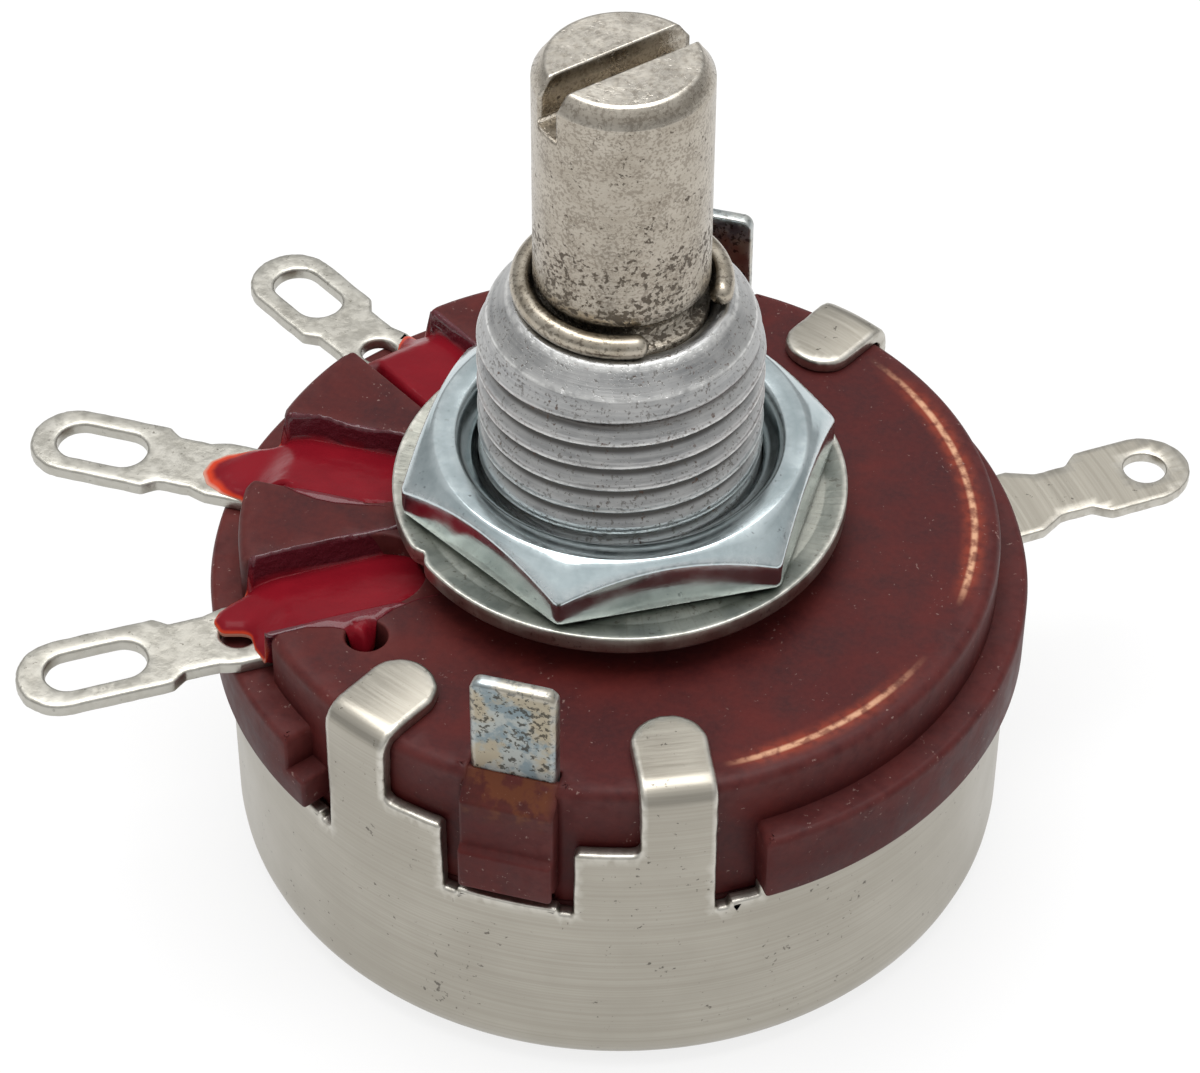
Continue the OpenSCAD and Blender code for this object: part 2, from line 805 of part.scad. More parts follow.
module shaft() {
    color(steel)
        difference() {
            union() {
                rotate_extrude()
                    polygon([
                        [0, spring_z], [collar_d / 2, spring_z], [collar_d / 2, collar_top],
                        [shaft_r, collar_top], [shaft_r, groove_low],
                        [shaft_r - groove_depth, groove_low],
                        [shaft_r - groove_depth, groove_top], [shaft_r, groove_top],
                        [shaft_r, shaft_top - tip_h], [shaft_r - tip_inset, shaft_top],
                        [0, shaft_top]
                    ]);
                spigot(rotor_z - 0.1, spring_z + 0.1);
                translate([0, 0, rotor_z - upset_h])
                    cylinder(r1 = upset_d / 2 - 0.4, r2 = upset_d / 2, h = upset_h);
            }
            rotate(driver_angle)
                translate([-shaft_d, -driver_w / 2, shaft_top - driver_depth])
                    cube([2 * shaft_d, driver_w, driver_depth + 1]);
        }
}

// Open wire ring in the shaft's groove, over the bushing's end
module retaining_clip() {
    end_r = wire_r - 0.02;
    color(steel)
        translate([0, 0, clip_z]) {
            difference() {
                rotate_extrude() translate([clip_r, 0]) circle(r = wire_r);
                sector(clip_gap_from, clip_gap_from + clip_gap, -1, 1);
            }
            for (a = [clip_gap_from, clip_gap_from + clip_gap])
                rotate(a) translate([clip_r, 0, 0]) sphere(r = end_r);
        }
}

module thrust_washer() {
    color("#8a6a3c")
        tube(shank_d / 2, shaft_r + seat_fit, thrust_z, thrust_z + thrust_t);
}

// Laminate disc with the stop arm on the outer brush's side
module rotor_disc() {
    color("#7a4a24")
        difference() {
            union() {
                translate([0, 0, rotor_z]) cylinder(r = rotor_r, h = rotor_t);
                intersection() {
                    tube(arm_r, rotor_r - rotor_t, rotor_z, rotor_top);
                    sector(-arm_half, arm_half, 0, body_top);
                }
            }
            spigot(0, body_top, seat_fit);
        }
}

// One arm of the spring: off the hub, up a slope and flat under its brush
module spring_arm(brush_r) {
    from_r = hub_d / 2 - 3 * spring_t;
    slope_in = hub_d / 2 + spring_t * 0.8;
    slope_out = max(brush_r - brush_w / 2 - spring_t * 0.4, slope_in + spring_t * 2);
    end_r = brush_r + brush_w / 2 + spring_t * 0.6;
    rotate([90, 0, 0])
        translate([0, 0, -spring_w / 2])
            linear_extrude(spring_w)
                polygon([
                    [from_r, rotor_top], [slope_in, rotor_top],
                    [slope_out, holder_z - spring_t], [end_r, holder_z - spring_t],
                    [end_r, holder_z], [slope_out - spring_t * 0.4, holder_z],
                    [slope_in - spring_t * 0.4, spring_z], [from_r, spring_z]
                ]);
}

module wiper_spring() {
    color(bronze)
        difference() {
            union() {
                translate([0, 0, rotor_top]) cylinder(r = hub_d / 2, h = spring_t);
                spring_arm(brush_out_r);
                rotate(180) spring_arm(brush_in_r);
            }
            spigot(0, body_top, seat_fit);
        }
}

// Carbon block on a spring arm, just under the face that it rides on
module brush(r, face_z) {
    color("#303033")
        translate([r - brush_w / 2, -brush_w / 2, holder_z])
            cube([brush_w, brush_w, face_z - slide_fit - holder_z]);
}

module outer_brush() { brush(brush_out_r, track_z); }
module inner_brush() { rotate(180) brush(brush_in_r, ring_z); }

can();
insulator_disc();
bakelite_body();
locating_strip();
bushing();
washer();
hex_nut();
terminal(0);  // terminal_1
terminal(1);  // terminal_2
terminal(2);  // terminal_3
rivet(0);  // rivet_1
rivet(1);  // rivet_2
rivet(2);  // rivet_3
resistance_track();
collector_ring();
lacquer(0);  // lacquer_1
lacquer(1);  // lacquer_2
lacquer(2);  // lacquer_3
shaft();
retaining_clip();
thrust_washer();
rotor_disc();
wiper_spring();
outer_brush();
inner_brush();
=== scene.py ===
import math

import bmesh
import bpy
import numpy as np
from mathutils import Matrix, Vector, noise
from mathutils.geometry import delaunay_2d_cdt


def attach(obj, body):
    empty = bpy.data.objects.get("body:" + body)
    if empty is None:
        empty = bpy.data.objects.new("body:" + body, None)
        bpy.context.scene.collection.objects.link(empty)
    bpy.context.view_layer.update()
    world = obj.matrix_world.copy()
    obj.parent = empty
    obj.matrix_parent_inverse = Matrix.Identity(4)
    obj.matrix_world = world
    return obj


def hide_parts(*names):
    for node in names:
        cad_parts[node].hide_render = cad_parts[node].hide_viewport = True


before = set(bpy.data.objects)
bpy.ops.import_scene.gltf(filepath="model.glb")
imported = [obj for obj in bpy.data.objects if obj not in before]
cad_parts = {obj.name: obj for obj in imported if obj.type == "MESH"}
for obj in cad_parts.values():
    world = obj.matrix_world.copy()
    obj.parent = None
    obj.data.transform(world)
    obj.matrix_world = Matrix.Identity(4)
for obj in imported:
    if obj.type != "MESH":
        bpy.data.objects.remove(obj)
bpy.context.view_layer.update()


# Drawn can
# A cup pressed from one blank of sheet steel, with two windows, four tabs that are folded over the moulded
# body, and a solder lug bent out of its rim. Nickel plated, with fine lines round it from the drawing die.
MM = 0.001
CAN_R = 14.1
SHEET = 0.5
CORNER_R = 1.4
RIM_Z = 8.2
SEAT_Z = 8.6
SHOULDER_Z = 11.0
BODY_TOP = 13.4
TAB_ANGLE = 24.0
TAB_HALF = 1.3
WINDOW_HALF = 9.5
GAP_HALF = 35.7
FOLD_R = 0.85
TAB_TIP_R = 10.4
LUG_ANGLE = 37.4
LUG_HALF = 1.7
LUG_END_R = 23.0
LUG_FOLD_R = 0.3
LUG_FOLD_Z = SEAT_Z - SHEET - LUG_FOLD_R


def smooth_step(low, high, value):
    """0 below low, 1 above high, and a smooth rise between them."""
    share = np.clip((value - low) / (high - low), 0.0, 1.0)
    return share * share * (3.0 - 2.0 * share)


def rounded_path(corners, step=0.06, reach=0.35):
    """Points of a closed outline through (x, y, radius) corners, with arcs at the corners."""
    points = []
    count = len(corners)
    for k, (x, y, radius) in enumerate(corners):
        here = np.array([x, y], float)
        back = np.array(corners[k - 1][:2], float) - here
        ahead = np.array(corners[(k + 1) % count][:2], float) - here
        back_len = np.hypot(*back)
        ahead_len = np.hypot(*ahead)
        back = back / back_len
        ahead = ahead / ahead_len
        half = math.acos(max(-1.0, min(1.0, float(back @ ahead)))) / 2
        if radius <= 0 or half > math.pi / 2 - 0.01:
            points.append(here)
            continue
        cut = min(radius / math.tan(half), 0.499 * back_len, 0.499 * ahead_len)
        radius = cut * math.tan(half)
        middle = (back + ahead) / np.hypot(*(back + ahead))
        centre = here + middle * radius / math.sin(half)
        start = here + back * cut - centre
        end = here + ahead * cut - centre
        turn = math.atan2(start[0] * end[1] - start[1] * end[0], float(start @ end))
        steps = max(3, math.ceil(abs(turn) * radius / step))
        for i in range(steps + 1):
            angle = turn * i / steps
            turned = (start[0] * math.cos(angle) - start[1] * math.sin(angle),
                      start[0] * math.sin(angle) + start[1] * math.cos(angle))
            points.append(centre + turned)
    return divided(np.array(points), reach)


def divided(points, reach):
    """The closed outline with its long sides divided into parts no longer than reach."""
    out = []
    for here, after in zip(points, np.roll(points, -1, axis=0)):
        length = np.hypot(*(after - here))
        if length < 1e-5:
            continue
        parts = max(1, math.ceil(length / reach))
        for i in range(parts):
            out.append(here + (after - here) * i / parts)
    return np.array(out)


def round_hole(x, y, radius, count=40):
    """A circle that runs clockwise, so that the sheet lies on its left."""
    angles = -np.linspace(0, 2 * math.pi, count, endpoint=False)
    return np.stack([x + radius * np.cos(angles), y + radius * np.sin(angles)], axis=1)


def inward(loop, period=0.0):
    """Directions into the sheet, on the left of the outline, for each of its points."""
    shift = np.array([0.0, period])
    before = np.roll(loop, 1, axis=0)
    after = np.roll(loop, -1, axis=0)
    before[0] -= shift
    after[-1] += shift
    first = loop - before
    second = after - loop
    first /= np.hypot(first[:, 0], first[:, 1])[:, None]
    second /= np.hypot(second[:, 0], second[:, 1])[:, None]
    mean = np.stack([-(first[:, 1] + second[:, 1]), first[:, 0] + second[:, 0]], axis=1) / 2
    size = np.maximum((mean ** 2).sum(axis=1), 0.3)
    return mean / size[:, None]


def inside(points, loops):
    """Whether each point lies within the closed loops, by the even-odd rule."""
    hits = np.zeros(len(points), int)
    for loop in loops:
        after = np.roll(loop, -1, axis=0)
        for (x0, y0), (x1, y1) in zip(loop, after):
            if y0 == y1:
                continue
            crossed = (points[:, 1] >= min(y0, y1)) & (points[:, 1] < max(y0, y1))
            reach = x0 + (points[:, 1] - y0) * (x1 - x0) / (y1 - y0)
            hits += crossed & (points[:, 0] < reach)
    return hits % 2 == 1


def clear_of(points, loops, room):
    """Whether each point is further than room from every point of the loops."""
    clear = np.ones(len(points), bool)
    for loop in loops:
        for start in range(0, len(loop), 64):
            part = loop[start:start + 64]
            gap = points[:, None, :] - part[None, :, :]
            clear &= ((gap ** 2).sum(axis=2).min(axis=1) > room ** 2)
    return clear


def new_mesh(name, verts, faces, edge=None):
    """A smooth mesh object in millimetres, with how near each point is to a worn edge."""
    mesh = bpy.data.meshes.new(name)
    mesh.from_pydata([tuple(co * MM) for co in np.asarray(verts, float)], [], faces)
    mesh.validate()
    mesh.polygons.foreach_set("use_smooth", [True] * len(mesh.polygons))
    if edge is not None:
        worn = mesh.attributes.new("worn_edge", "FLOAT", "POINT")
        worn.data.foreach_set("value", np.asarray(edge, np.float32))
    made = bpy.data.objects.new(name, mesh)
    bpy.context.scene.collection.objects.link(made)
    return made


def face_out(piece):
    """All faces of the closed mesh turned to look outwards, and flat areas kept flat in shading."""
    work = bmesh.new()
    work.from_mesh(piece.data)
    bmesh.ops.recalc_face_normals(work, faces=work.faces)
    work.to_mesh(piece.data)
    work.free()
    weigh = piece.modifiers.new("flat areas", "WEIGHTED_NORMAL")
    weigh.mode = "FACE_AREA"
    weigh.weight = 70
    return piece


def pressed(name, loops, grid, fold, thick, upper=0.1, lower=0.05, flat=None, period=0.0, side_rows=0):
    """A sheet of that thickness over a flat blank, with rounded edges, laid in place by fold.

    loops are outlines with the sheet on their left, grid holds points within, flat gives the blank's
    plane for the triangles, and fold(points, depth) the place in space. upper and lower are the radii
    of the edges, as numbers or one number per outline point.
    """
    flat = flat or (lambda points: points)
    rim = np.concatenate(loops)
    way = np.concatenate([inward(loop, period if k == 0 else 0.0) for k, loop in enumerate(loops)])
    upper = np.broadcast_to(np.asarray(upper, float), len(rim))
    lower = np.broadcast_to(np.asarray(lower, float), len(rim))
    inset = rim + way * upper[:, None]
    flat_rim = flat(inset)
    starts = np.cumsum([0] + [len(loop) for loop in loops])
    flat_loops = [flat_rim[a:b] for a, b in zip(starts[:-1], starts[1:])]
    flat_grid = flat(grid)
    kept = inside(flat_grid, flat_loops) & clear_of(flat_grid, flat_loops, 0.12)
    grid = grid[kept]
    flat_grid = flat_grid[kept]
    plane = np.concatenate([flat_rim, flat_grid])
    borders = []
    for a, b in zip(starts[:-1], starts[1:]):
        borders += [(i, i + 1 if i + 1 < b else a) for i in range(a, b)]
    out = delaunay_2d_cdt([Vector(p) for p in plane], borders, [], 0, 1e-7)
    where = np.array([list(v) for v in out[0]])
    back = [old[0] if old else -1 for old in out[3]]
    tris = np.array([f for f in out[2] if len(f) == 3])
    middles = where[tris].mean(axis=1)
    tris = tris[inside(middles, flat_loops)]
    tris = [tuple(back[i] for i in tri) for tri in tris]
    tris = [tri for tri in tris if -1 not in tri]
    rows = [(upper * (1 - math.sin(a)), upper * (1 - math.cos(a))) for a in np.radians([0, 30, 60, 90])]
    for i in range(1, side_rows + 1):
        share = i / (side_rows + 1)
        rows.append((0 * upper, upper + (thick - lower - upper) * share))
    for a in np.radians([90, 45, 0]):
        rows.append((lower * (1 - math.sin(a)), thick - lower * (1 - math.cos(a))))
    total = len(rim)
    points = [inset, grid]
    depths = [np.zeros(total), np.zeros(len(grid))]
    edge = [np.full(total, 0.6), np.zeros(len(grid))]
    for inset_k, depth_k in rows[1:]:
        points.append(rim + way * np.asarray(inset_k)[:, None])
        depths.append(depth_k + np.zeros(total))
        edge.append(np.clip(1.15 - np.abs(depth_k + np.zeros(total) - upper) * 1.6, 0, 1))
    points.append(grid)
    depths.append(np.full(len(grid), thick))
    edge.append(np.zeros(len(grid)))
    row_starts = [0] + [total + len(grid) + total * k for k in range(len(rows) - 1)]
    under_grid = total + len(grid) + total * (len(rows) - 1)
    faces = [tuple(tri) for tri in tris]
    for tri in tris:
        under = [i + row_starts[-1] if i < total else i - total + under_grid for i in tri]
        faces.append(tuple(reversed(under)))
    for k in range(len(rows) - 1):
        for i, j in borders:
            a, b = row_starts[k], row_starts[k + 1]
            faces.append((a + j, a + i, b + i, b + j))
    flat_points = np.concatenate(points)
    all_depths = np.concatenate(depths)
    verts = fold(flat_points, all_depths)
    return face_out(new_mesh(name, verts, faces, np.concatenate(edge)))


def wall_q(z):
    """Distance along the can's section, from the axis, to the outside of its wall at height z."""
    return CAN_R - CORNER_R + math.pi / 2 * CORNER_R + z - CORNER_R


FOLD_Q = wall_q(BODY_TOP + SHEET - FOLD_R)
LEAF_Q = FOLD_Q + math.pi / 2 * FOLD_R
TIP_Q = LEAF_Q + CAN_R - FOLD_R - TAB_TIP_R
LUG_Q = wall_q(LUG_FOLD_Z)
LUG_FLAT_Q = LUG_Q + math.pi / 2 * LUG_FOLD_R
TAB_PLACES = [base + side * TAB_ANGLE for base in (-90, 90) for side in (-1, 1)]


def lug_q(radius):
    """Distance along the section, over the lug's bend, to that distance from the axis."""
    return LUG_FLAT_Q + radius - CAN_R - LUG_FOLD_R


def along(degrees):
    """Length round the can's outside to that angle."""
    return math.radians(degrees) * CAN_R


def window_side(base, side):
    """Outline from the middle of a window out past its tab, as (distance, round, radius) corners."""
    corner = math.degrees(TAB_HALF / CAN_R)
    near = along(base + side * (TAB_ANGLE - corner))
    far = along(base + side * (TAB_ANGLE + corner))
    frame_edge = along(base + side * WINDOW_HALF)
    gap_end = along(base + side * GAP_HALF)
    nick = 0.42 * side
    rim = wall_q(RIM_Z)
    low = wall_q(RIM_Z - 0.26)
    return [
        (rim, frame_edge - 1.35 * nick, 0.07), (low, frame_edge - 1.2 * nick, 0.12),
        (low, frame_edge, 0.12), (wall_q(SHOULDER_Z), frame_edge, 0.24),
        (wall_q(SHOULDER_Z), near, 0.3), (TIP_Q, near, 1.27), (TIP_Q, far, 1.27), (low, far, 0.14),
        (low, far + 1.1 * nick, 0.12), (rim, far + 1.3 * nick, 0.08),
        (rim, gap_end, 0.1), (wall_q(SEAT_Z), gap_end, 0.16),
    ]


def can_outline():
    """The blank's edge once round: windows, shoulders, tabs, seats and the lug."""
    seat = wall_q(SEAT_Z)
    lug = along(LUG_ANGLE)
    corners = list(reversed(window_side(-90, -1))) + window_side(-90, 1)
    slit = 0.45
    foot = wall_q(LUG_FOLD_Z - 0.3)
    half = [(seat, LUG_HALF + slit, 0.15), (foot, LUG_HALF + slit, 0.2), (foot, LUG_HALF, 0.2),
            (lug_q(CAN_R + 2.3), LUG_HALF, 0.5), (lug_q(CAN_R + 3.2), 1.2, 0.4),
            (lug_q(CAN_R + 4.5), 1.2, 0.35), (lug_q(CAN_R + 5.15), LUG_HALF, 0.3),
            (lug_q(LUG_END_R), LUG_HALF, LUG_HALF - 0.02)]
    corners += [(q, lug - s, r) for q, s, r in half] + [(q, lug + s, r) for q, s, r in reversed(half)]
    corners += list(reversed(window_side(90, -1))) + window_side(90, 1)
    start = along(-180)
    corners = [(seat, start, 0)] + corners
    closed = rounded_path(corners + [(seat, along(180), 0), (0, along(180), 0), (0, start, 0)], 0.07, 0.34)
    kept = closed[closed[:, 0] > 5]
    order = np.argmin(np.abs(kept[:, 1] - start) + np.abs(kept[:, 0] - seat))
    kept = np.roll(kept, -order, axis=0)
    return kept[kept[:, 1] < along(180) - 1e-6]


def torn(loop, size, seed):
    """Small shear marks along an outline, as the punch leaves them."""
    out = loop.copy()
    way = inward(loop)
    for i, (q, s) in enumerate(loop):
        mark = noise.noise(Vector((q * 2.1, s * 2.1, seed)))
        mark += 0.6 * noise.noise(Vector((q * 6.0, s * 6.0, seed + 4.0)))
        out[i] += way[i] * size * mark
    return out


def can_grid():
    """Points over the blank: rings on the bottom and wall, and closer rows on tabs and lug."""
    points = [np.array([[0.001, 0.0]])]
    rows = [(q, 48) for q in (1.5, 3.5, 6, 8.5, 10.5)] + [(q, 160) for q in (11.6, 12.3)]
    corner_end = CAN_R - CORNER_R + math.pi / 2 * CORNER_R
    rows += [(q, 256) for q in np.linspace(CAN_R - CORNER_R, corner_end, 8)]
    rows += [(q, 256) for q in np.arange(corner_end + 0.35, wall_q(SHOULDER_Z), 0.35)]
    for k, (q, count) in enumerate(rows):
        angles = np.linspace(-180, 180, count, endpoint=False) + 180 / count * (k % 2)
        points.append(np.stack([np.full(count, q), np.radians(angles) * CAN_R], axis=1))
    for angle in TAB_PLACES:
        for q in np.arange(wall_q(SHOULDER_Z) - 0.1, TIP_Q, 0.17):
            across = np.linspace(-TAB_HALF + 0.25, TAB_HALF - 0.25, 10)
            points.append(np.stack([np.full(10, q), along(angle) + across], axis=1))
    lug_rows = [np.arange(LUG_Q, LUG_FLAT_Q, 0.1), np.arange(LUG_FLAT_Q, lug_q(LUG_END_R), 0.3)]
    for q in np.concatenate(lug_rows):
        across = np.linspace(-LUG_HALF + 0.25, LUG_HALF - 0.25, 9)
        points.append(np.stack([np.full(9, q), along(LUG_ANGLE) + across], axis=1))
    return np.concatenate(points)


def can_flat(points):
    """The round blank laid flat."""
    angle = points[:, 1] / CAN_R
    return np.stack([points[:, 0] * np.cos(angle), points[:, 0] * np.sin(angle)], axis=1)


def can_fold(points, depth):
    """The blank drawn into a cup, with the tabs folded in and the lug folded out."""
    q = points[:, 0]
    s = points[:, 1]
    theta = s / CAN_R
    bottom = np.clip(q, 0, CAN_R - CORNER_R)
    bend = np.clip((q - bottom) / CORNER_R, 0, math.pi / 2)
    r = bottom + CORNER_R * np.sin(bend)
    z = CORNER_R * (1 - np.cos(bend))
    z = z + np.maximum(q - wall_q(CORNER_R), 0)
    out_r = np.sin(bend)
    out_z = -np.cos(bend)
    lateral = np.zeros(len(q))
    centre = theta.copy()
    local = np.zeros(len(q), bool)
    crown = np.zeros(len(q))
    for angle in TAB_PLACES:
        gap = s - along(angle)
        zone = (np.abs(gap) < TAB_HALF + 0.2) & (q > wall_q(SHOULDER_Z) + 0.02)
        turn = np.clip((q - FOLD_Q) / FOLD_R, 0, math.pi / 2)
        folded = zone & (q > FOLD_Q)
        r = np.where(folded, CAN_R - FOLD_R + FOLD_R * np.cos(turn) - np.maximum(q - LEAF_Q, 0), r)
        z = np.where(folded, BODY_TOP + SHEET - FOLD_R + FOLD_R * np.sin(turn), z)
        out_r = np.where(zone, np.cos(turn), out_r)
        out_z = np.where(zone, np.sin(turn), out_z)
        free = smooth_step(wall_q(SHOULDER_Z), FOLD_Q, q)
        lateral = np.where(zone, (CAN_R - depth * (1 - free)) * np.sin(gap / CAN_R), lateral)
        crown = np.where(zone, 0.07 * smooth_step(FOLD_Q, LEAF_Q, q) * (1 - (gap / TAB_HALF) ** 2), crown)
        centre = np.where(zone, math.radians(angle), centre)
        local |= zone
    gap = s - along(LUG_ANGLE)
    zone = (np.abs(gap) < LUG_HALF + 0.2) & (q > LUG_Q)
    turn = np.clip((q - LUG_Q) / LUG_FOLD_R, 0, math.pi / 2)
    r = np.where(zone, CAN_R + LUG_FOLD_R * (1 - np.cos(turn)) + np.maximum(q - LUG_FLAT_Q, 0), r)
    z = np.where(zone, LUG_FOLD_Z + LUG_FOLD_R * np.sin(turn), z)
    out_r = np.where(zone, np.cos(turn), out_r)
    out_z = np.where(zone, -np.sin(turn), out_z)
    lateral = np.where(zone, CAN_R * np.sin(gap / CAN_R), lateral)
    centre = np.where(zone, math.radians(LUG_ANGLE), centre)
    local |= zone
    place_r = r - depth * out_r
    place_z = z - depth * out_z + crown
    sag = np.where(local, CAN_R * (1 - np.cos((s - centre * CAN_R) / CAN_R)), 0)
    x_local = np.where(local, place_r - sag, place_r)
    lip = smooth_step(wall_q(RIM_Z) - 0.3, wall_q(RIM_Z), q) * (q < wall_q(RIM_Z) + 0.05)
    x_local = x_local + 0.05 * lip
    x = x_local * np.cos(centre) - lateral * np.sin(centre)
    y = x_local * np.sin(centre) + lateral * np.cos(centre)
    return np.stack([x, y, place_z], axis=1)


can_loop = torn(can_outline(), 0.022, 3.0)
lug_hole = round_hole(lug_q(LUG_END_R - LUG_HALF), along(LUG_ANGLE), 0.8)
can = pressed("can_shell", [can_loop, lug_hole], can_grid(), can_fold, SHEET, upper=0.15, lower=0.06,
              flat=can_flat, period=along(360))


def put(tree, kind, inputs=None, **settings):
    """A node of that kind in the tree, with its settings, and its inputs set or linked."""
    made = tree.nodes.new(kind)
    for key, value in settings.items():
        setattr(made, key, value)
    for key, value in (inputs or {}).items():
        if isinstance(value, bpy.types.NodeSocket):
            tree.links.new(value, made.inputs[key])
        else:
            made.inputs[key].default_value = value
    return made


def maths(tree, operation, first, second=0.0, clamp=False):
    """The result of a Math node."""
    made = put(tree, "ShaderNodeMath", {0: first, 1: second}, operation=operation, use_clamp=clamp)
    return made.outputs[0]


def spread(tree, value, low, high, to_low=0.0, to_high=1.0):
    """A value from low to high taken to to_low and to_high, held at both ends."""
    made = put(tree, "ShaderNodeMapRange", {"Value": value, "From Min": low, "From Max": high,
                                            "To Min": to_low, "To Max": to_high},
               interpolation_type="SMOOTHSTEP")
    return made.outputs["Result"]


def mixed(tree, share, first, second):
    """One colour over another by a share."""
    made = put(tree, "ShaderNodeMix", {0: share, 6: first, 7: second}, data_type="RGBA")
    return made.outputs[2]


def laid_over(tree, base, mask, amount, colour):
    """The base colour with another laid over it where the mask says, by that amount at most."""
    return mixed(tree, maths(tree, "MULTIPLY", mask, amount), base, colour)


def whereabouts(tree):
    """Where the surface is: its place, its x, y and z, and its distance from the part's axis."""
    place = put(tree, "ShaderNodeTexCoord").outputs["Object"]
    parts = put(tree, "ShaderNodeSeparateXYZ", {0: place}).outputs
    flat = put(tree, "ShaderNodeCombineXYZ", {0: parts[0], 1: parts[1], 2: 0.0}).outputs[0]
    radius = put(tree, "ShaderNodeVectorMath", {0: flat}, operation="LENGTH").outputs["Value"]
    return place, parts, radius


def group(name, wanted, given):
    """A new node group with its named inputs (name: start value) and outputs (name: kind)."""
    tree = bpy.data.node_groups.new(name, "ShaderNodeTree")
    kinds = {float: "NodeSocketFloat", tuple: "NodeSocketColor"}
    for key, value in wanted.items():
        made = tree.interface.new_socket(key, in_out="INPUT", socket_type=kinds[type(value)])
        made.default_value = value
    for key, kind in given.items():
        tree.interface.new_socket(key, in_out="OUTPUT", socket_type=kind)
    return tree, tree.nodes.new("NodeGroupInput").outputs, tree.nodes.new("NodeGroupOutput").inputs


def use(tree, made, **values):
    """That node group placed in a material, with this material's own values."""
    placed = tree.nodes.new("ShaderNodeGroup")
    placed.node_tree = made
    for key, value in values.items():
        key = key.replace("_", " ").capitalize()
        if isinstance(value, bpy.types.NodeSocket):
            tree.links.new(value, placed.inputs[key])
        else:
            placed.inputs[key].default_value = value
    return placed.outputs


def round_marks():
    """Fine lines that run round the part's axis, as turning and drawing leave them."""
    tree, given, out = group("round marks", {"Across": 6000.0, "Along": 60.0}, {"Lines": "NodeSocketFloat"})
    _, parts, radius = whereabouts(tree)
    turn = maths(tree, "ARCTAN2", parts[1], parts[0])
    seat = put(tree, "ShaderNodeCombineXYZ", {
        0: maths(tree, "MULTIPLY", maths(tree, "MULTIPLY", turn, 0.014), given["Along"]),
        1: maths(tree, "MULTIPLY", radius, given["Across"]),
        2: maths(tree, "MULTIPLY", parts[2], given["Across"])}).outputs[0]
    lines = put(tree, "ShaderNodeTexNoise", {
        "Vector": seat, "Scale": 1.0, "Detail": 4.0, "Roughness": 0.65})
    tree.links.new(lines.outputs[0], out["Lines"])
    return tree


def specks():
    """Small dark pits or grains of dirt, more of them where Amount is higher."""
    tree, given, out = group("specks", {"Size": 0.15, "Amount": 0.3}, {"Mask": "NodeSocketFloat"})
    place = put(tree, "ShaderNodeTexCoord").outputs["Object"]
    scale = maths(tree, "DIVIDE", 500.0, given["Size"])
    fine = put(tree, "ShaderNodeTexNoise", {
        "Vector": place, "Scale": scale, "Detail": 3.0, "Roughness": 0.6})
    patch = put(tree, "ShaderNodeTexNoise", {
        "Vector": place, "Scale": maths(tree, "MULTIPLY", scale, 0.16), "Detail": 2.0})
    field = maths(tree, "ADD", fine.outputs[0], maths(tree, "MULTIPLY", patch.outputs[0], 0.35))
    limit = maths(tree, "SUBTRACT", 0.98, maths(tree, "MULTIPLY", given["Amount"], 0.32))
    tree.links.new(spread(tree, field, limit, maths(tree, "ADD", limit, 0.07)), out["Mask"])
    return tree


def clouds():
    """Soft uneven patches over a surface, from 0 to 1."""
    tree, given, out = group("clouds", {"Size": 3.0, "Detail": 3.0, "Seed": 0.0},
                             {"Patches": "NodeSocketFloat"})
    place = put(tree, "ShaderNodeTexCoord").outputs["Object"]
    scale = maths(tree, "DIVIDE", 1000.0, given["Size"])
    shift = put(tree, "ShaderNodeCombineXYZ", {
        0: maths(tree, "MULTIPLY", given["Seed"], 0.013),
        1: maths(tree, "MULTIPLY", given["Seed"], 0.029), 2: 0.0}).outputs[0]
    moved = put(tree, "ShaderNodeVectorMath", {0: place, 1: shift}, operation="ADD").outputs[0]
    made = put(tree, "ShaderNodeTexNoise", {
        "Vector": moved, "Scale": scale, "Detail": given["Detail"], "Roughness": 0.6})
    tree.links.new(spread(tree, made.outputs[0], 0.28, 0.72), out["Patches"])
    return tree


def worn_edges():
    """Where handling has polished the edges, broken up by noise."""
    tree, given, out = group("worn edges", {"Size": 0.4, "Amount": 1.0}, {"Mask": "NodeSocketFloat"})
    edge = put(tree, "ShaderNodeAttribute", attribute_name="worn_edge").outputs["Fac"]
    place = put(tree, "ShaderNodeTexCoord").outputs["Object"]
    made = put(tree, "ShaderNodeTexNoise", {
        "Vector": place, "Scale": maths(tree, "DIVIDE", 1000.0, given["Size"]), "Detail": 3.0})
    broken = maths(tree, "MULTIPLY", edge, spread(tree, made.outputs[0], 0.3, 0.6, 0.35, 1.0))
    tree.links.new(maths(tree, "MULTIPLY", broken, given["Amount"], clamp=True), out["Mask"])
    return tree


ROUND_MARKS = round_marks()
SPECKS = specks()
CLOUDS = clouds()
WORN_EDGES = worn_edges()


def new_material(name):
    """An empty material with its shader: (material, tree, shader)."""
    made = bpy.data.materials.new(name)
    made.use_nodes = True
    tree = made.node_tree
    shader = tree.nodes["Principled BSDF"]
    return made, tree, shader


def bumped(tree, shader, height, strength, distance):
    """A fine relief on the shader's surface."""
    made = put(tree, "ShaderNodeBump", {"Strength": strength, "Distance": distance * MM, "Height": height})
    tree.links.new(made.outputs[0], shader.inputs["Normal"])


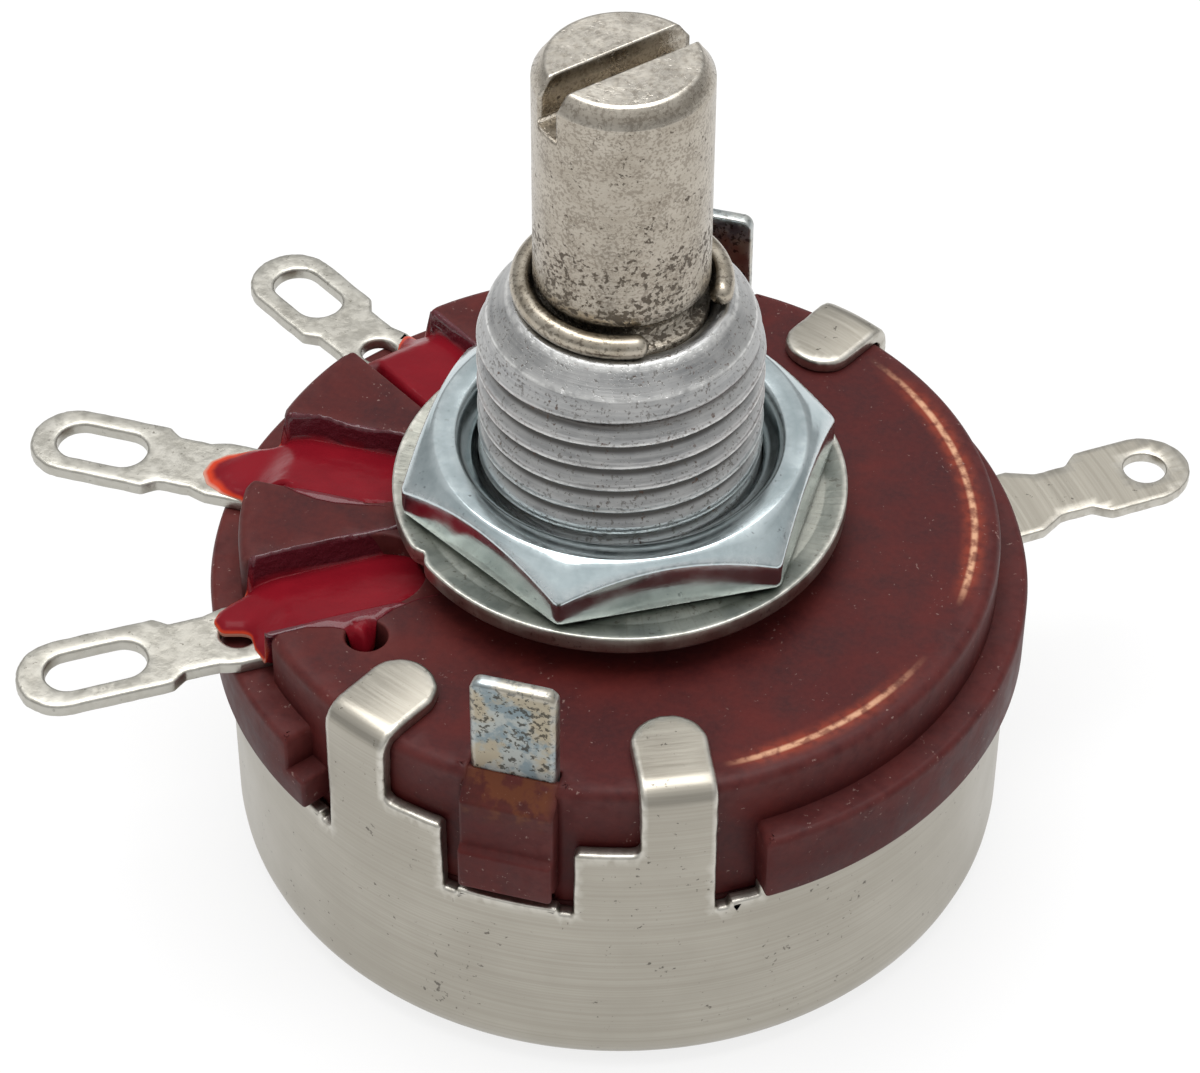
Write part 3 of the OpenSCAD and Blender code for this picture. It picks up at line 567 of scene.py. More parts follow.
def nickel_sheet():
    """Nickel plated sheet: warm grey, drawn lines, smudges and a few dark spots."""
    made, tree, shader = new_material("nickel plated sheet")
    lines = use(tree, ROUND_MARKS, across=9000.0, along=30.0)["Lines"]
    smudge = use(tree, CLOUDS, size=5.0, detail=4.0, seed=1.0)["Patches"]
    spots = use(tree, SPECKS, size=0.13, amount=0.40)["Mask"]
    edges = use(tree, WORN_EDGES, size=0.35, amount=1.0)["Mask"]
    base = mixed(tree, spread(tree, lines, 0.3, 0.7), (0.36, 0.335, 0.285, 1), (0.43, 0.405, 0.35, 1))
    base = laid_over(tree, base, smudge, 0.3, (0.30, 0.275, 0.23, 1))
    base = laid_over(tree, base, spots, 0.75, (0.07, 0.06, 0.05, 1))
    base = laid_over(tree, base, edges, 0.6, (0.74, 0.72, 0.66, 1))
    tree.links.new(base, shader.inputs["Base Color"])
    rough = maths(tree, "ADD", spread(tree, lines, 0.3, 0.7, 0.28, 0.36),
                  maths(tree, "MULTIPLY", smudge, 0.09))
    tree.links.new(rough, shader.inputs["Roughness"])
    shader.inputs["Metallic"].default_value = 1.0
    bumped(tree, shader, lines, 0.25, 0.012)
    return made


NICKEL_SHEET = nickel_sheet()


def finish_piece(piece, material, body, slot, *nodes):
    """The piece gets its material, rides on its body and stands for its CAD nodes."""
    piece.data.materials.clear()
    piece.data.materials.append(material)
    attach(piece, body)
    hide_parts(*nodes)


finish_piece(can, NICKEL_SHEET, "body", "can_steel", "can")


# Insulating paper
# A disc of brown fibre paper that lies on the can's bottom and keeps the wiper off the steel. It is loose
# and hidden, so the frame's own disc is kept.
def paper():
    """Brown fibre paper with short fibres in it."""
    made, tree, shader = new_material("fibre paper")
    fibres = use(tree, CLOUDS, size=0.6, detail=5.0, seed=2.0)["Patches"]
    base = mixed(tree, fibres, (0.30, 0.19, 0.09, 1), (0.42, 0.29, 0.15, 1))
    tree.links.new(base, shader.inputs["Base Color"])
    shader.inputs["Roughness"].default_value = 0.85
    bumped(tree, shader, fibres, 0.4, 0.03)
    return made


def dress(node, material):
    """A CAD node keeps its shape and gets that material."""
    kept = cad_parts[node]
    kept.data.materials.clear()
    kept.data.materials.append(material)


dress("insulator_disc", paper())


# Moulded body
# A disc moulded from maroon phenolic, with three open channels for the terminals, a flange on each side, a
# guide block in each of the can's windows and a blind hole. It is clamped in the can by the folded tabs.
BODY_R = 13.5
FLANGE_R = 14.6
FLANGE_TOP = 11.3
CHANNEL_Z = 11.3
CHANNEL_HALF = 1.8
CHANNEL_IN_R = 7.2
TERM_ANGLES = (146.0, 180.0, 214.0)
STRIP_FACE = 13.05
STRIP_T = 0.55
STRIP_HALF = 1.5
BLOCK_HALF = 1.65
SHANK_HOLE_R = 4.35
FLANGE_IN_R = 12.9
CORE_R = 13.3
CORE_LOW = 7.4
SKIRT_LOW = 5.8
NO_POINTS = np.zeros((0, 2))
PIP_R = 0.75
PIP_PLACE_R = 10.6
PIP_ANGLE = -129.4
WORN_ARC_R = 12.50
WORN_ARCS = ((-57.6, -17.6), (-4.6, 58.4))


def polar(radius, degrees):
    """x and y at that distance and angle."""
    return np.array([radius * math.cos(math.radians(degrees)), radius * math.sin(math.radians(degrees))])


def arc(radius, start, end, reach=0.33):
    """Corners along an arc about the axis, without rounding."""
    steps = max(2, math.ceil(abs(math.radians(end - start)) * radius / reach))
    return [(*polar(radius, start + (end - start) * i / steps), 0) for i in range(steps + 1)]


def channel_mouth(angle):
    """Corners of one channel, in from the rim, round its inner end and out again."""
    out_way = polar(1, angle)
    side_way = polar(1, angle + 90)
    rim = math.sqrt(BODY_R ** 2 - CHANNEL_HALF ** 2)
    corners = [(rim, -CHANNEL_HALF, 0.46), (CHANNEL_IN_R, -CHANNEL_HALF, 1.78),
               (CHANNEL_IN_R, CHANNEL_HALF, 1.78), (rim, CHANNEL_HALF, 0.46)]
    return [(*(out_way * u + side_way * v), radius) for u, v, radius in corners]


def slot_mouth(base):
    """Corners of the notch that a locating tab stands in."""
    out_way = polar(1, base)
    side_way = polar(1, base + 90)
    half = STRIP_HALF + 0.04
    rim = math.sqrt(BODY_R ** 2 - half ** 2)
    inner = STRIP_FACE - STRIP_T - 0.04
    corners = [(rim, -half, 0), (inner, -half, 0.05), (inner, half, 0.05), (rim, half, 0)]
    return [(*(out_way * u + side_way * v), radius) for u, v, radius in corners]


def body_outline():
    """The body's plan: a circle with three channels and two notches, as corners."""
    half = math.degrees(math.asin(CHANNEL_HALF / BODY_R))
    notch = math.degrees(math.asin((STRIP_HALF + 0.04) / BODY_R))
    corners = []
    stops = [(-90, notch, slot_mouth), (90, notch, slot_mouth)]
    stops += [(angle, half, channel_mouth) for angle in TERM_ANGLES]
    here = -90 - notch
    order = sorted(stops, key=lambda stop: (stop[0] + 90) % 360)
    for k, (angle, reach, shape) in enumerate(order):
        corners += shape(angle)
        after = order[(k + 1) % len(order)]
        start = angle + reach
        end = after[0] - after[1]
        if end < start:
            end += 360
        corners += arc(BODY_R, start, end)[3:-3]
    return corners


def upright(angle=0.0, top=0.0):
    """A fold that stands a flat blank at height top, turned about the axis."""
    c = math.cos(math.radians(angle))
    s = math.sin(math.radians(angle))

    def lay(points, depth):
        x = points[:, 0] * c - points[:, 1] * s
        y = points[:, 0] * s + points[:, 1] * c
        return np.stack([x, y, top - depth], axis=1)
    return lay


def square_grid(x0, x1, y0, y1, reach):
    """Points over a rectangle, with every other row moved by half a step."""
    rows = []
    for k, y in enumerate(np.arange(y0, y1, reach * 0.87)):
        xs = np.arange(x0 + (k % 2) * reach / 2, x1, reach)
        rows.append(np.stack([xs, np.full(len(xs), y)], axis=1))
    return np.concatenate(rows)


def joined(name, *parts):
    """Several closed shells kept as one piece."""
    for extra in parts[1:]:
        extra.modifiers.clear()
    keep = parts[0]
    with bpy.context.temp_override(active_object=keep, selected_editable_objects=list(parts)):
        bpy.ops.object.join()
    keep.name = name
    keep.data.name = name
    return keep


def round_points(angles, radius, height):
    """Points of the sections that stand at those angles, with one row of radii and heights for each."""
    x = radius * np.cos(angles)[:, None]
    y = radius * np.sin(angles)[:, None]
    return np.stack([x, y, height], axis=2).reshape(-1, 3)


def round_faces(count, total):
    """Faces between count closed sections of total points each, set round the axis."""
    faces = []
    for i in range(count):
        j = (i + 1) % count
        for k in range(total):
            n = (k + 1) % total
            faces.append((i * total + k, j * total + k, j * total + n, i * total + n))
    return faces


def turned(name, profile, count=256, wave=None, edge=None):
    """A closed section of (radius, height) points turned about the axis."""
    profile = np.asarray(profile, float)
    total = len(profile)
    angles = np.linspace(0, 2 * math.pi, count, endpoint=False)
    radius = np.repeat(profile[None, :, 0], count, axis=0)
    height = np.repeat(profile[None, :, 1], count, axis=0)
    worn = np.zeros((count, total)) if edge is None else np.tile(np.asarray(edge, float), (count, 1))
    if wave is not None:
        # A wave's third value is a painted highlight, such as the thread's crest lips, added to the worn-edge
        # values.
        radius, height, painted_wave_highlight = wave(angles[:, None] + 0 * radius, radius, height)
        worn = np.maximum(worn, painted_wave_highlight)
    verts = round_points(angles, radius, height)
    return face_out(new_mesh(name, verts, round_faces(count, total), worn.reshape(-1)))


def section(corners, reach=0.6, step=0.05):
    """A closed turned section from (radius, height, rounding) corners."""
    return rounded_path(corners, step, reach)


def moulded_body():
    """The whole moulding: upper disc, core, skirt, flanges and guide blocks."""
    outline = rounded_path(body_outline(), 0.08, 0.33)
    shank = round_hole(0, 0, SHANK_HOLE_R, 64)
    pip = round_hole(*polar(PIP_PLACE_R, PIP_ANGLE), PIP_R, 36)
    at_rim = smooth_step(BODY_R - 0.35, BODY_R - 0.02, np.hypot(outline[:, 0], outline[:, 1]))
    upper = np.concatenate([0.11 + 0.27 * at_rim, np.full(len(shank), 0.1), np.full(len(pip), 0.1)])
    grid = square_grid(-CORE_R, CORE_R, -CORE_R, CORE_R, 0.9)
    disc = pressed("disc", [outline, shank, pip], grid, upright(top=BODY_TOP), BODY_TOP - 8.0, upper=upper,
                   lower=0.1, side_rows=2)
    core = [(SHANK_HOLE_R, CORE_LOW, 0), (CORE_R, CORE_LOW, 0.1), (CORE_R, CHANNEL_Z, 0.1),
            (SHANK_HOLE_R, CHANNEL_Z, 0.1)]
    skirt = [(12.95, SKIRT_LOW, 0.1), (BODY_R - 0.05, SKIRT_LOW, 0.1), (BODY_R - 0.05, CORE_LOW + 0.5, 0),
             (12.95, CORE_LOW + 0.5, 0)]
    parts = [disc, turned("core", section(core, 2.0), 192), turned("skirt", section(skirt, 2.0), 192)]
    half = 90 - GAP_HALF
    for middle, low_step in ((0, 0.0), (180, 3.5)):
        ring = arc(FLANGE_R, middle - half, middle + half)
        ring[0] = (*ring[0][:2], 0.12)
        ring[-1] = (*ring[-1][:2], 0.12)
        ring += [(*polar(FLANGE_IN_R, middle + half), 0.0), (*polar(FLANGE_IN_R, middle - half), 0.0)]
        blank = rounded_path(ring, 0.06, 0.33)
        outer = np.hypot(blank[:, 0], blank[:, 1]) > CORE_R
        parts.append(pressed("flange", [blank], NO_POINTS, upright(top=FLANGE_TOP), FLANGE_TOP - SEAT_Z,
                             upper=np.where(outer, 0.27, 0.05), lower=0.1, side_rows=1))
        if low_step:
            for side in (-1, 1):
                a = middle + side * (half - 2)
                b = middle + side * (half + low_step)
                start = min(a, b)
                end = max(a, b)
                ring = arc(FLANGE_R, start, end)
                ring[0] = (*ring[0][:2], 0.15)
                ring[-1] = (*ring[-1][:2], 0.15)
                ring += [(*polar(FLANGE_IN_R, end), 0.0), (*polar(FLANGE_IN_R, start), 0.0)]
                parts.append(pressed("step", [rounded_path(ring, 0.06, 0.33)], NO_POINTS,
                                     upright(top=SEAT_Z + 1.3), 1.3, upper=0.15, lower=0.1))
    for base in (-90, 90):
        block = [(13.1, 8.7, 0.0), (14.3, 8.7, 0.1), (14.3, 10.4, 0.16), (14.0, 10.55, 0.1),
                 (14.0, 12.55, 0.22), (13.12, BODY_TOP - 0.03, 0.08), (12.9, BODY_TOP - 0.03, 0.0),
                 (12.9, 8.7, 0.0)]
        out_way = polar(1, base)
        side_way = polar(1, base + 90)

        def stand(points, depth, out_way=out_way, side_way=side_way):
            flat = out_way[None, :] * points[:, :1] + side_way[None, :] * (BLOCK_HALF - depth)[:, None]
            return np.concatenate([flat, points[:, 1:]], axis=1)
        parts.append(pressed("block", [rounded_path(block, 0.06, 0.4)], NO_POINTS, stand,
                             2 * BLOCK_HALF, upper=0.14, lower=0.14))
    return joined("moulded_body", *parts)


def phenolic():
    """Maroon phenolic: mottled, satin, with rub marks, dust and two worn arcs on the top."""
    made, tree, shader = new_material("maroon phenolic")
    place, parts, radius = whereabouts(tree)
    mottle = use(tree, CLOUDS, size=1.9, detail=5.0, seed=3.0)["Patches"]
    broad = use(tree, CLOUDS, size=8.0, detail=2.0, seed=4.0)["Patches"]
    fine = use(tree, CLOUDS, size=0.22, detail=3.0, seed=5.0)["Patches"]
    edges = use(tree, WORN_EDGES, size=0.5, amount=0.8)["Mask"]
    dust = use(tree, SPECKS, size=0.10, amount=0.38)["Mask"]
    base = mixed(tree, mottle, (0.040, 0.0068, 0.0072, 1), (0.088, 0.0105, 0.0085, 1))
    base = laid_over(tree, base, broad, 0.6, (0.036, 0.0075, 0.0090, 1))
    base = laid_over(tree, base, fine, 0.22, (0.110, 0.018, 0.014, 1))
    turn = maths(tree, "ARCTAN2", parts[1], parts[0])
    on_top = spread(tree, parts[2], 13.25 * MM, 13.38 * MM)
    ragged = put(tree, "ShaderNodeTexNoise", {"Vector": place, "Scale": 2600.0, "Detail": 4.0}).outputs[0]
    drift = put(tree, "ShaderNodeTexNoise", {"Vector": place, "Scale": 240.0, "Detail": 2.0}).outputs[0]
    ring = maths(tree, "ABSOLUTE", maths(tree, "SUBTRACT", radius, maths(
        tree, "ADD", WORN_ARC_R * MM, maths(tree, "MULTIPLY", drift, 0.10 * MM))))
    spans = None
    for start, end in WORN_ARCS:
        a = math.radians(start)
        b = math.radians(end)
        span = maths(tree, "MULTIPLY", spread(tree, turn, a - 0.02, a + 0.12),
                     spread(tree, turn, b + 0.02, b - 0.3))
        spans = span if spans is None else maths(tree, "MAXIMUM", spans, span)
    spans = maths(tree, "MULTIPLY", spans, on_top)
    halo = maths(tree, "MULTIPLY", spread(tree, ring, 0.62 * MM, 0.05 * MM), spans)
    halo = maths(tree, "MULTIPLY", halo, spread(tree, ragged, 0.30, 0.62, 0.25, 0.75))
    core = maths(tree, "MULTIPLY", spread(tree, ring, 0.17 * MM, 0.04 * MM), spans)
    core = maths(tree, "MULTIPLY", core, spread(tree, ragged, 0.36, 0.58, 0.25, 1.0))
    base = mixed(tree, halo, base, (0.26, 0.040, 0.018, 1))
    base = mixed(tree, core, base, (0.56, 0.31, 0.19, 1))
    base = laid_over(tree, base, edges, 0.3, (0.17, 0.055, 0.050, 1))
    base = laid_over(tree, base, dust, 0.40, (0.36, 0.25, 0.22, 1))
    stain = use(tree, CLOUDS, size=0.9, detail=5.0, seed=22.0)["Patches"]
    beside = maths(tree, "ABSOLUTE", parts[0])
    below_tab = maths(tree, "MULTIPLY", spread(tree, beside, 1.75 * MM, 1.2 * MM),
                      spread(tree, parts[1], -12.9 * MM, -13.15 * MM))
    below_tab = maths(tree, "MULTIPLY", below_tab, spread(tree, parts[2], 11.6 * MM, 12.6 * MM))
    base = mixed(tree, maths(tree, "MULTIPLY", below_tab, spread(tree, stain, 0.2, 0.7, 0.1, 0.8)), base,
                 (0.125, 0.038, 0.014, 1))
    tree.links.new(base, shader.inputs["Base Color"])
    rough = maths(tree, "ADD", spread(tree, mottle, 0.0, 1.0, 0.40, 0.52),
                  maths(tree, "MULTIPLY", broad, 0.08))
    tree.links.new(rough, shader.inputs["Roughness"])
    shader.inputs["Specular IOR Level"].default_value = 0.15
    bumped(tree, shader, maths(tree, "ADD", mottle, maths(tree, "MULTIPLY", fine, 0.5)), 0.2, 0.02)
    return made


body = moulded_body()
PHENOLIC = phenolic()
finish_piece(body, PHENOLIC, "body", "phenolic", "bakelite_body")


# Locating strip
# A strip of zinc plated steel under the body, with a ring round the bushing. Both ends are bent up through
# the body and stand out of it, to fit into slots in the panel. The bushing's lip clamps it.
STRIP_TOP_Z = 8.6
TAB_TOP = 17.3
STRIP_FOLD_R = 0.2


def strip_fold(points, depth):
    """The flat strip along Y, with both ends bent up."""
    v = points[:, 0]
    side = np.sign(v)
    bend_y = STRIP_FACE - STRIP_T - STRIP_FOLD_R
    turn = np.clip((np.abs(v) - bend_y) / STRIP_FOLD_R, 0, math.pi / 2)
    rise = np.maximum(np.abs(v) - bend_y - math.pi / 2 * STRIP_FOLD_R, 0)
    y = np.minimum(np.abs(v), bend_y) + (STRIP_FOLD_R + depth) * np.sin(turn)
    z = STRIP_TOP_Z + STRIP_FOLD_R - (STRIP_FOLD_R + depth) * np.cos(turn) + rise
    lean = 0.010 * np.maximum(z - BODY_TOP, 0)
    return np.stack([-points[:, 1], side * (y - lean), z], axis=1)


def locating_strip():
    """Outline of the flat blank, folded."""
    bend = STRIP_FACE - STRIP_T - STRIP_FOLD_R + math.pi / 2 * STRIP_FOLD_R
    tip = bend + TAB_TOP - STRIP_TOP_Z - STRIP_FOLD_R
    ring_r = 5.6
    turn = math.asin(STRIP_HALF / ring_r)
    start = math.degrees(turn)
    corners = [(tip, -STRIP_HALF, 0.4), (tip, STRIP_HALF, 0.4)]
    corners += arc(ring_r, start, 180 - start)
    corners += [(-tip, STRIP_HALF, 0.4), (-tip, -STRIP_HALF, 0.4)]
    corners += arc(ring_r, 180 + start, 360 - start)
    outline = torn(rounded_path(corners, 0.06, 0.3), 0.015, 7.0)
    lengths = np.concatenate([np.linspace(-tip + 0.3, -bend - 0.01, 28), np.linspace(-bend, -bend + 0.4, 6),
                              np.linspace(bend - 0.4, bend, 6), np.linspace(bend + 0.01, tip - 0.3, 28)])
    across = np.linspace(-STRIP_HALF + 0.25, STRIP_HALF - 0.25, 9)
    rows = [np.stack([np.full(9, v), across], axis=1) for v in lengths]
    return pressed("locating_strip_sheet", [outline, round_hole(0, 0, SHANK_HOLE_R, 48)],
                   np.concatenate(rows), strip_fold, STRIP_T, upper=0.1, lower=0.16)


def zinc_sheet():
    """Zinc plate with a mottled oxide bloom, bluish and tan, and dark specks."""
    made, tree, shader = new_material("zinc plated sheet")
    bloom = use(tree, CLOUDS, size=0.8, detail=6.0, seed=6.0)["Patches"]
    tint = use(tree, CLOUDS, size=1.6, detail=4.0, seed=7.0)["Patches"]
    spots = use(tree, SPECKS, size=0.10, amount=0.80)["Mask"]
    edges = use(tree, WORN_EDGES, size=0.3, amount=1.0)["Mask"]
    base = mixed(tree, spread(tree, bloom, 0.25, 0.75), (0.20, 0.25, 0.27, 1), (0.38, 0.40, 0.38, 1))
    base = laid_over(tree, base, spread(tree, tint, 0.35, 0.7), 0.75, (0.40, 0.33, 0.22, 1))
    base = laid_over(tree, base, spots, 0.85, (0.05, 0.045, 0.035, 1))
    base = laid_over(tree, base, edges, 0.55, (0.68, 0.69, 0.67, 1))
    tree.links.new(base, shader.inputs["Base Color"])
    rough = spread(tree, bloom, 0.0, 1.0, 0.30, 0.46)
    tree.links.new(rough, shader.inputs["Roughness"])
    shader.inputs["Metallic"].default_value = 1.0
    bumped(tree, shader, bloom, 0.3, 0.03)
    return made


strip = locating_strip()
ZINC_SHEET = zinc_sheet()
finish_piece(strip, ZINC_SHEET, "body", "zinc_plate", "locating_strip")


# Terminals and their rivets
# Three solder terminals punched from tinned sheet. Each lies in a channel of the body, held by a brass rivet
# that also makes the contact below, and ends in an eye with a long slot.
TERM_T = 0.5
TERM_TOP = CHANNEL_Z + TERM_T
TERM_ENDS = (20.96, 22.4, 21.9)
EYE_STARTS = (16.16, 17.2, 16.3)
SLOT_LENGTHS = (3.1, 3.4, 3.6)
RIVET_RADII = (11.7, 9.0, 11.7)
EYE_HALF = 1.65
NECK_HALF = 1.25
ROOT_HALF = 1.45


def terminal(k):
    """One terminal's outline, pierced and laid in its channel."""
    root = RIVET_RADII[k]
    end = TERM_ENDS[k]
    eye_in = EYE_STARTS[k]
    half = [(root - ROOT_HALF, ROOT_HALF, 1.4), (eye_in - 2.0, ROOT_HALF, 0.25),
            (eye_in - 1.3, NECK_HALF, 0.3), (eye_in - 0.1, NECK_HALF, 0.22),
            (eye_in + 0.42, EYE_HALF, 0.25), (end, EYE_HALF, EYE_HALF - 0.02)]
    corners = [(u, -v, r) for u, v, r in half] + [(u, v, r) for u, v, r in reversed(half)]
    outline = torn(rounded_path(corners, 0.07, 0.3), 0.028, 11.0 + 5 * k)
    slot_out = end - 1.0
    slot_in = slot_out - SLOT_LENGTHS[k]
    slot = rounded_path([(slot_in, 0.9, 0.88), (slot_out, 0.9, 0.88), (slot_out, -0.9, 0.88),
                         (slot_in, -0.9, 0.88)], 0.07, 0.3)
    holes = [torn(slot, 0.012, 2.0 + k), round_hole(CAN_R - 0.1, 0, 0.65), round_hole(root, 0, 0.8)]
    lay = upright(TERM_ANGLES[k], TERM_TOP)

    def fold(points, depth):
        placed = lay(points, depth)
        placed[:, 2] += 0.018 * np.sin(points[:, 0] * 0.9 + 2.0 * k) * smooth_step(15.5, 19.0, points[:, 0])
        return placed
    grid = square_grid(root - 1.3, end, -1.5, 1.5, 0.3)
    return pressed(f"terminal_sheet_{k + 1}", [outline] + holes, grid, fold, TERM_T, upper=0.13, lower=0.06)


def tinned_sheet():
    """Tinned sheet: pale warm grey with a fine grain and dark flecks."""
    made, tree, shader = new_material("tinned sheet")
    grain = use(tree, CLOUDS, size=0.5, detail=6.0, seed=8.0)["Patches"]
    broad = use(tree, CLOUDS, size=3.5, detail=3.0, seed=9.0)["Patches"]
    spots = use(tree, SPECKS, size=0.10, amount=0.5)["Mask"]
    edges = use(tree, WORN_EDGES, size=0.3, amount=1.0)["Mask"]
    base = mixed(tree, grain, (0.40, 0.385, 0.34, 1), (0.50, 0.485, 0.44, 1))
    base = laid_over(tree, base, broad, 0.4, (0.36, 0.34, 0.29, 1))
    base = laid_over(tree, base, spots, 0.7, (0.12, 0.11, 0.09, 1))
    base = laid_over(tree, base, edges, 0.4, (0.60, 0.59, 0.54, 1))
    tree.links.new(base, shader.inputs["Base Color"])
    tree.links.new(spread(tree, grain, 0.0, 1.0, 0.33, 0.46), shader.inputs["Roughness"])
    shader.inputs["Metallic"].default_value = 1.0
    bumped(tree, shader, grain, 0.3, 0.025)
    return made


def rivet_brass():
    """Brass that has dulled, with fine turning marks."""
    made, tree, shader = new_material("dull brass")
    patch = use(tree, CLOUDS, size=0.8, detail=4.0, seed=10.0)["Patches"]
    base = mixed(tree, patch, (0.46, 0.30, 0.11, 1), (0.62, 0.44, 0.18, 1))
    tree.links.new(base, shader.inputs["Base Color"])
    tree.links.new(spread(tree, patch, 0.0, 1.0, 0.28, 0.42), shader.inputs["Roughness"])
    shader.inputs["Metallic"].default_value = 1.0
    return made


TINNED_SHEET = tinned_sheet()
RIVET_BRASS = rivet_brass()
for k in range(3):
    finish_piece(terminal(k), TINNED_SHEET, "body", "tinned_sheet", f"terminal_{k + 1}")
    dress(f"rivet_{k + 1}", RIVET_BRASS)


# Resistance track, collector ring, rotor and brushes
# The working parts inside the can: a laminate horseshoe with a carbon film, a brass ring, and on the shaft's
# spigot a laminate disc with a bronze spring that presses two carbon blocks on them. All are hidden.
def plain(name, low, high, rough, metal=0.0, seed=12.0):
    """A hidden piece's finish, with soft patches of two tones."""
    made, tree, shader = new_material(name)
    patch = use(tree, CLOUDS, size=1.2, detail=4.0, seed=seed)["Patches"]
    tree.links.new(mixed(tree, patch, (*low, 1), (*high, 1)), shader.inputs["Base Color"])
    shader.inputs["Roughness"].default_value = rough
    shader.inputs["Metallic"].default_value = metal
    bumped(tree, shader, patch, 0.2, 0.02)
    return made


CARBON = plain("carbon film", (0.012, 0.012, 0.014), (0.03, 0.03, 0.033), 0.6)
LAMINATE = plain("paper laminate", (0.09, 0.035, 0.012), (0.15, 0.06, 0.022), 0.5, seed=13.0)
SPRING_BRONZE = plain("spring bronze", (0.42, 0.24, 0.10), (0.55, 0.33, 0.15), 0.3, 1.0, 14.0)
dress("resistance_track", CARBON)
dress("collector_ring", RIVET_BRASS)
dress("rotor_disc", LAMINATE)
dress("thrust_washer", LAMINATE)
dress("wiper_spring", SPRING_BRONZE)
dress("outer_brush", CARBON)
dress("inner_brush", CARBON)


# Bushing
# The neck is die cast zinc with an M10x1 thread that runs out below two plain cones. Its shoulder sits on
# the body, and its lower end is staked over the locating strip. The thread's valleys are painted dark as
# shade, and its crest lips and the edge between the cones are painted bright as highlights.
NECK_R = 4.95
NECK_TOP = 23.8
SHANK_R = 4.3
SHOULDER_R = 6.5
LIP_R = 5.0
LIP_LOW = 7.44
LIP_TOP = 8.05
BORE_R = 3.03
FOOT_Z = 6.6
CONE_Z = 22.9
THREAD_Z = 21.9
WASHER_Z = 14.4
PITCH = 1.0
THREAD_DEPTH = 0.34


def thread_wave(angles, radius, height):
    """The neck's thread: broad crests with a raised lip, narrow valleys, fading out under the cone; the lip is
    also given back as a painted highlight.
    """
    above = (height / PITCH - angles / (2 * math.pi) + 0.85) % 1.0
    valley = np.maximum(1 - smooth_step(0.03, 0.21, above), smooth_step(0.36, 1.02, above))
    lip = np.exp(-((above - 0.24) / 0.05) ** 2)
    fade = 1 - smooth_step(THREAD_Z - 0.35, THREAD_Z + 0.75, height)
    outer = smooth_step(4.4, 4.6, radius) * (height > WASHER_Z + 0.3)
    cut = THREAD_DEPTH * valley - 0.03 * lip + 0.03
    # The third value is the lip as a painted highlight line along each crest.
    return radius - cut * fade * outer, height, lip * fade * outer


def bushing():
    """Section of the casting, turned, with the thread cut by the wave."""
    side = [(NECK_R, z) for z in np.arange(WASHER_Z + 0.35, THREAD_Z, 0.04)]
    outer = section([(SHANK_R, LIP_LOW, 0.1), (LIP_R, LIP_LOW, 0.2), (LIP_R, LIP_TOP, 0.0),
                     (SHANK_R, LIP_TOP, 0.0), (SHANK_R, BODY_TOP, 0.0), (SHOULDER_R, BODY_TOP, 0.1),
                     (SHOULDER_R, WASHER_Z, 0.15), (NECK_R, WASHER_Z, 0.1), (NECK_R, WASHER_Z + 0.33, 0)], 0.5)
    outer = outer[:np.argmin(np.abs(outer[:, 0] - NECK_R) + np.abs(outer[:, 1] - WASHER_Z - 0.33)) + 1]
    cones = []
    for z in np.arange(THREAD_Z, CONE_Z, 0.05):
        cones.append((NECK_R - 0.35 * (z - THREAD_Z) / (CONE_Z - THREAD_Z), z))
    cones += [(4.60, 22.86), (4.585, 22.91), (4.54, 22.96), (4.44, 23.06), (4.24, 23.28), (4.02, 23.54),
              (3.88, 23.70), (3.82, 23.765), (3.74, NECK_TOP), (3.62, NECK_TOP + 0.01), (3.46, NECK_TOP),
              (3.38, 23.77), (3.2, 23.6), (3.06, 23.45), (BORE_R, 23.3)]
    bore = [(BORE_R, z) for z in (20.0, 15.0, 10.0, FOOT_Z + 0.05)]
    bore += [(BORE_R + 0.07, FOOT_Z), (SHANK_R - 0.1, FOOT_Z), (SHANK_R, FOOT_Z + 0.1)]
    profile = list(outer) + side + cones + bore
    heights = np.array([z for _, z in profile])
    radii = np.array([r for r, _ in profile])
    # The first ring, at the edge between the cones, is a painted highlight; the second, round the top edge, is
    # edge wear.
    worn = np.exp(-((heights - CONE_Z) / 0.06) ** 2) * (radii > 4.4) + np.exp(-((radii - 3.86) / 0.07) ** 2)
    return turned("bushing_casting", profile, 240, thread_wave, worn)


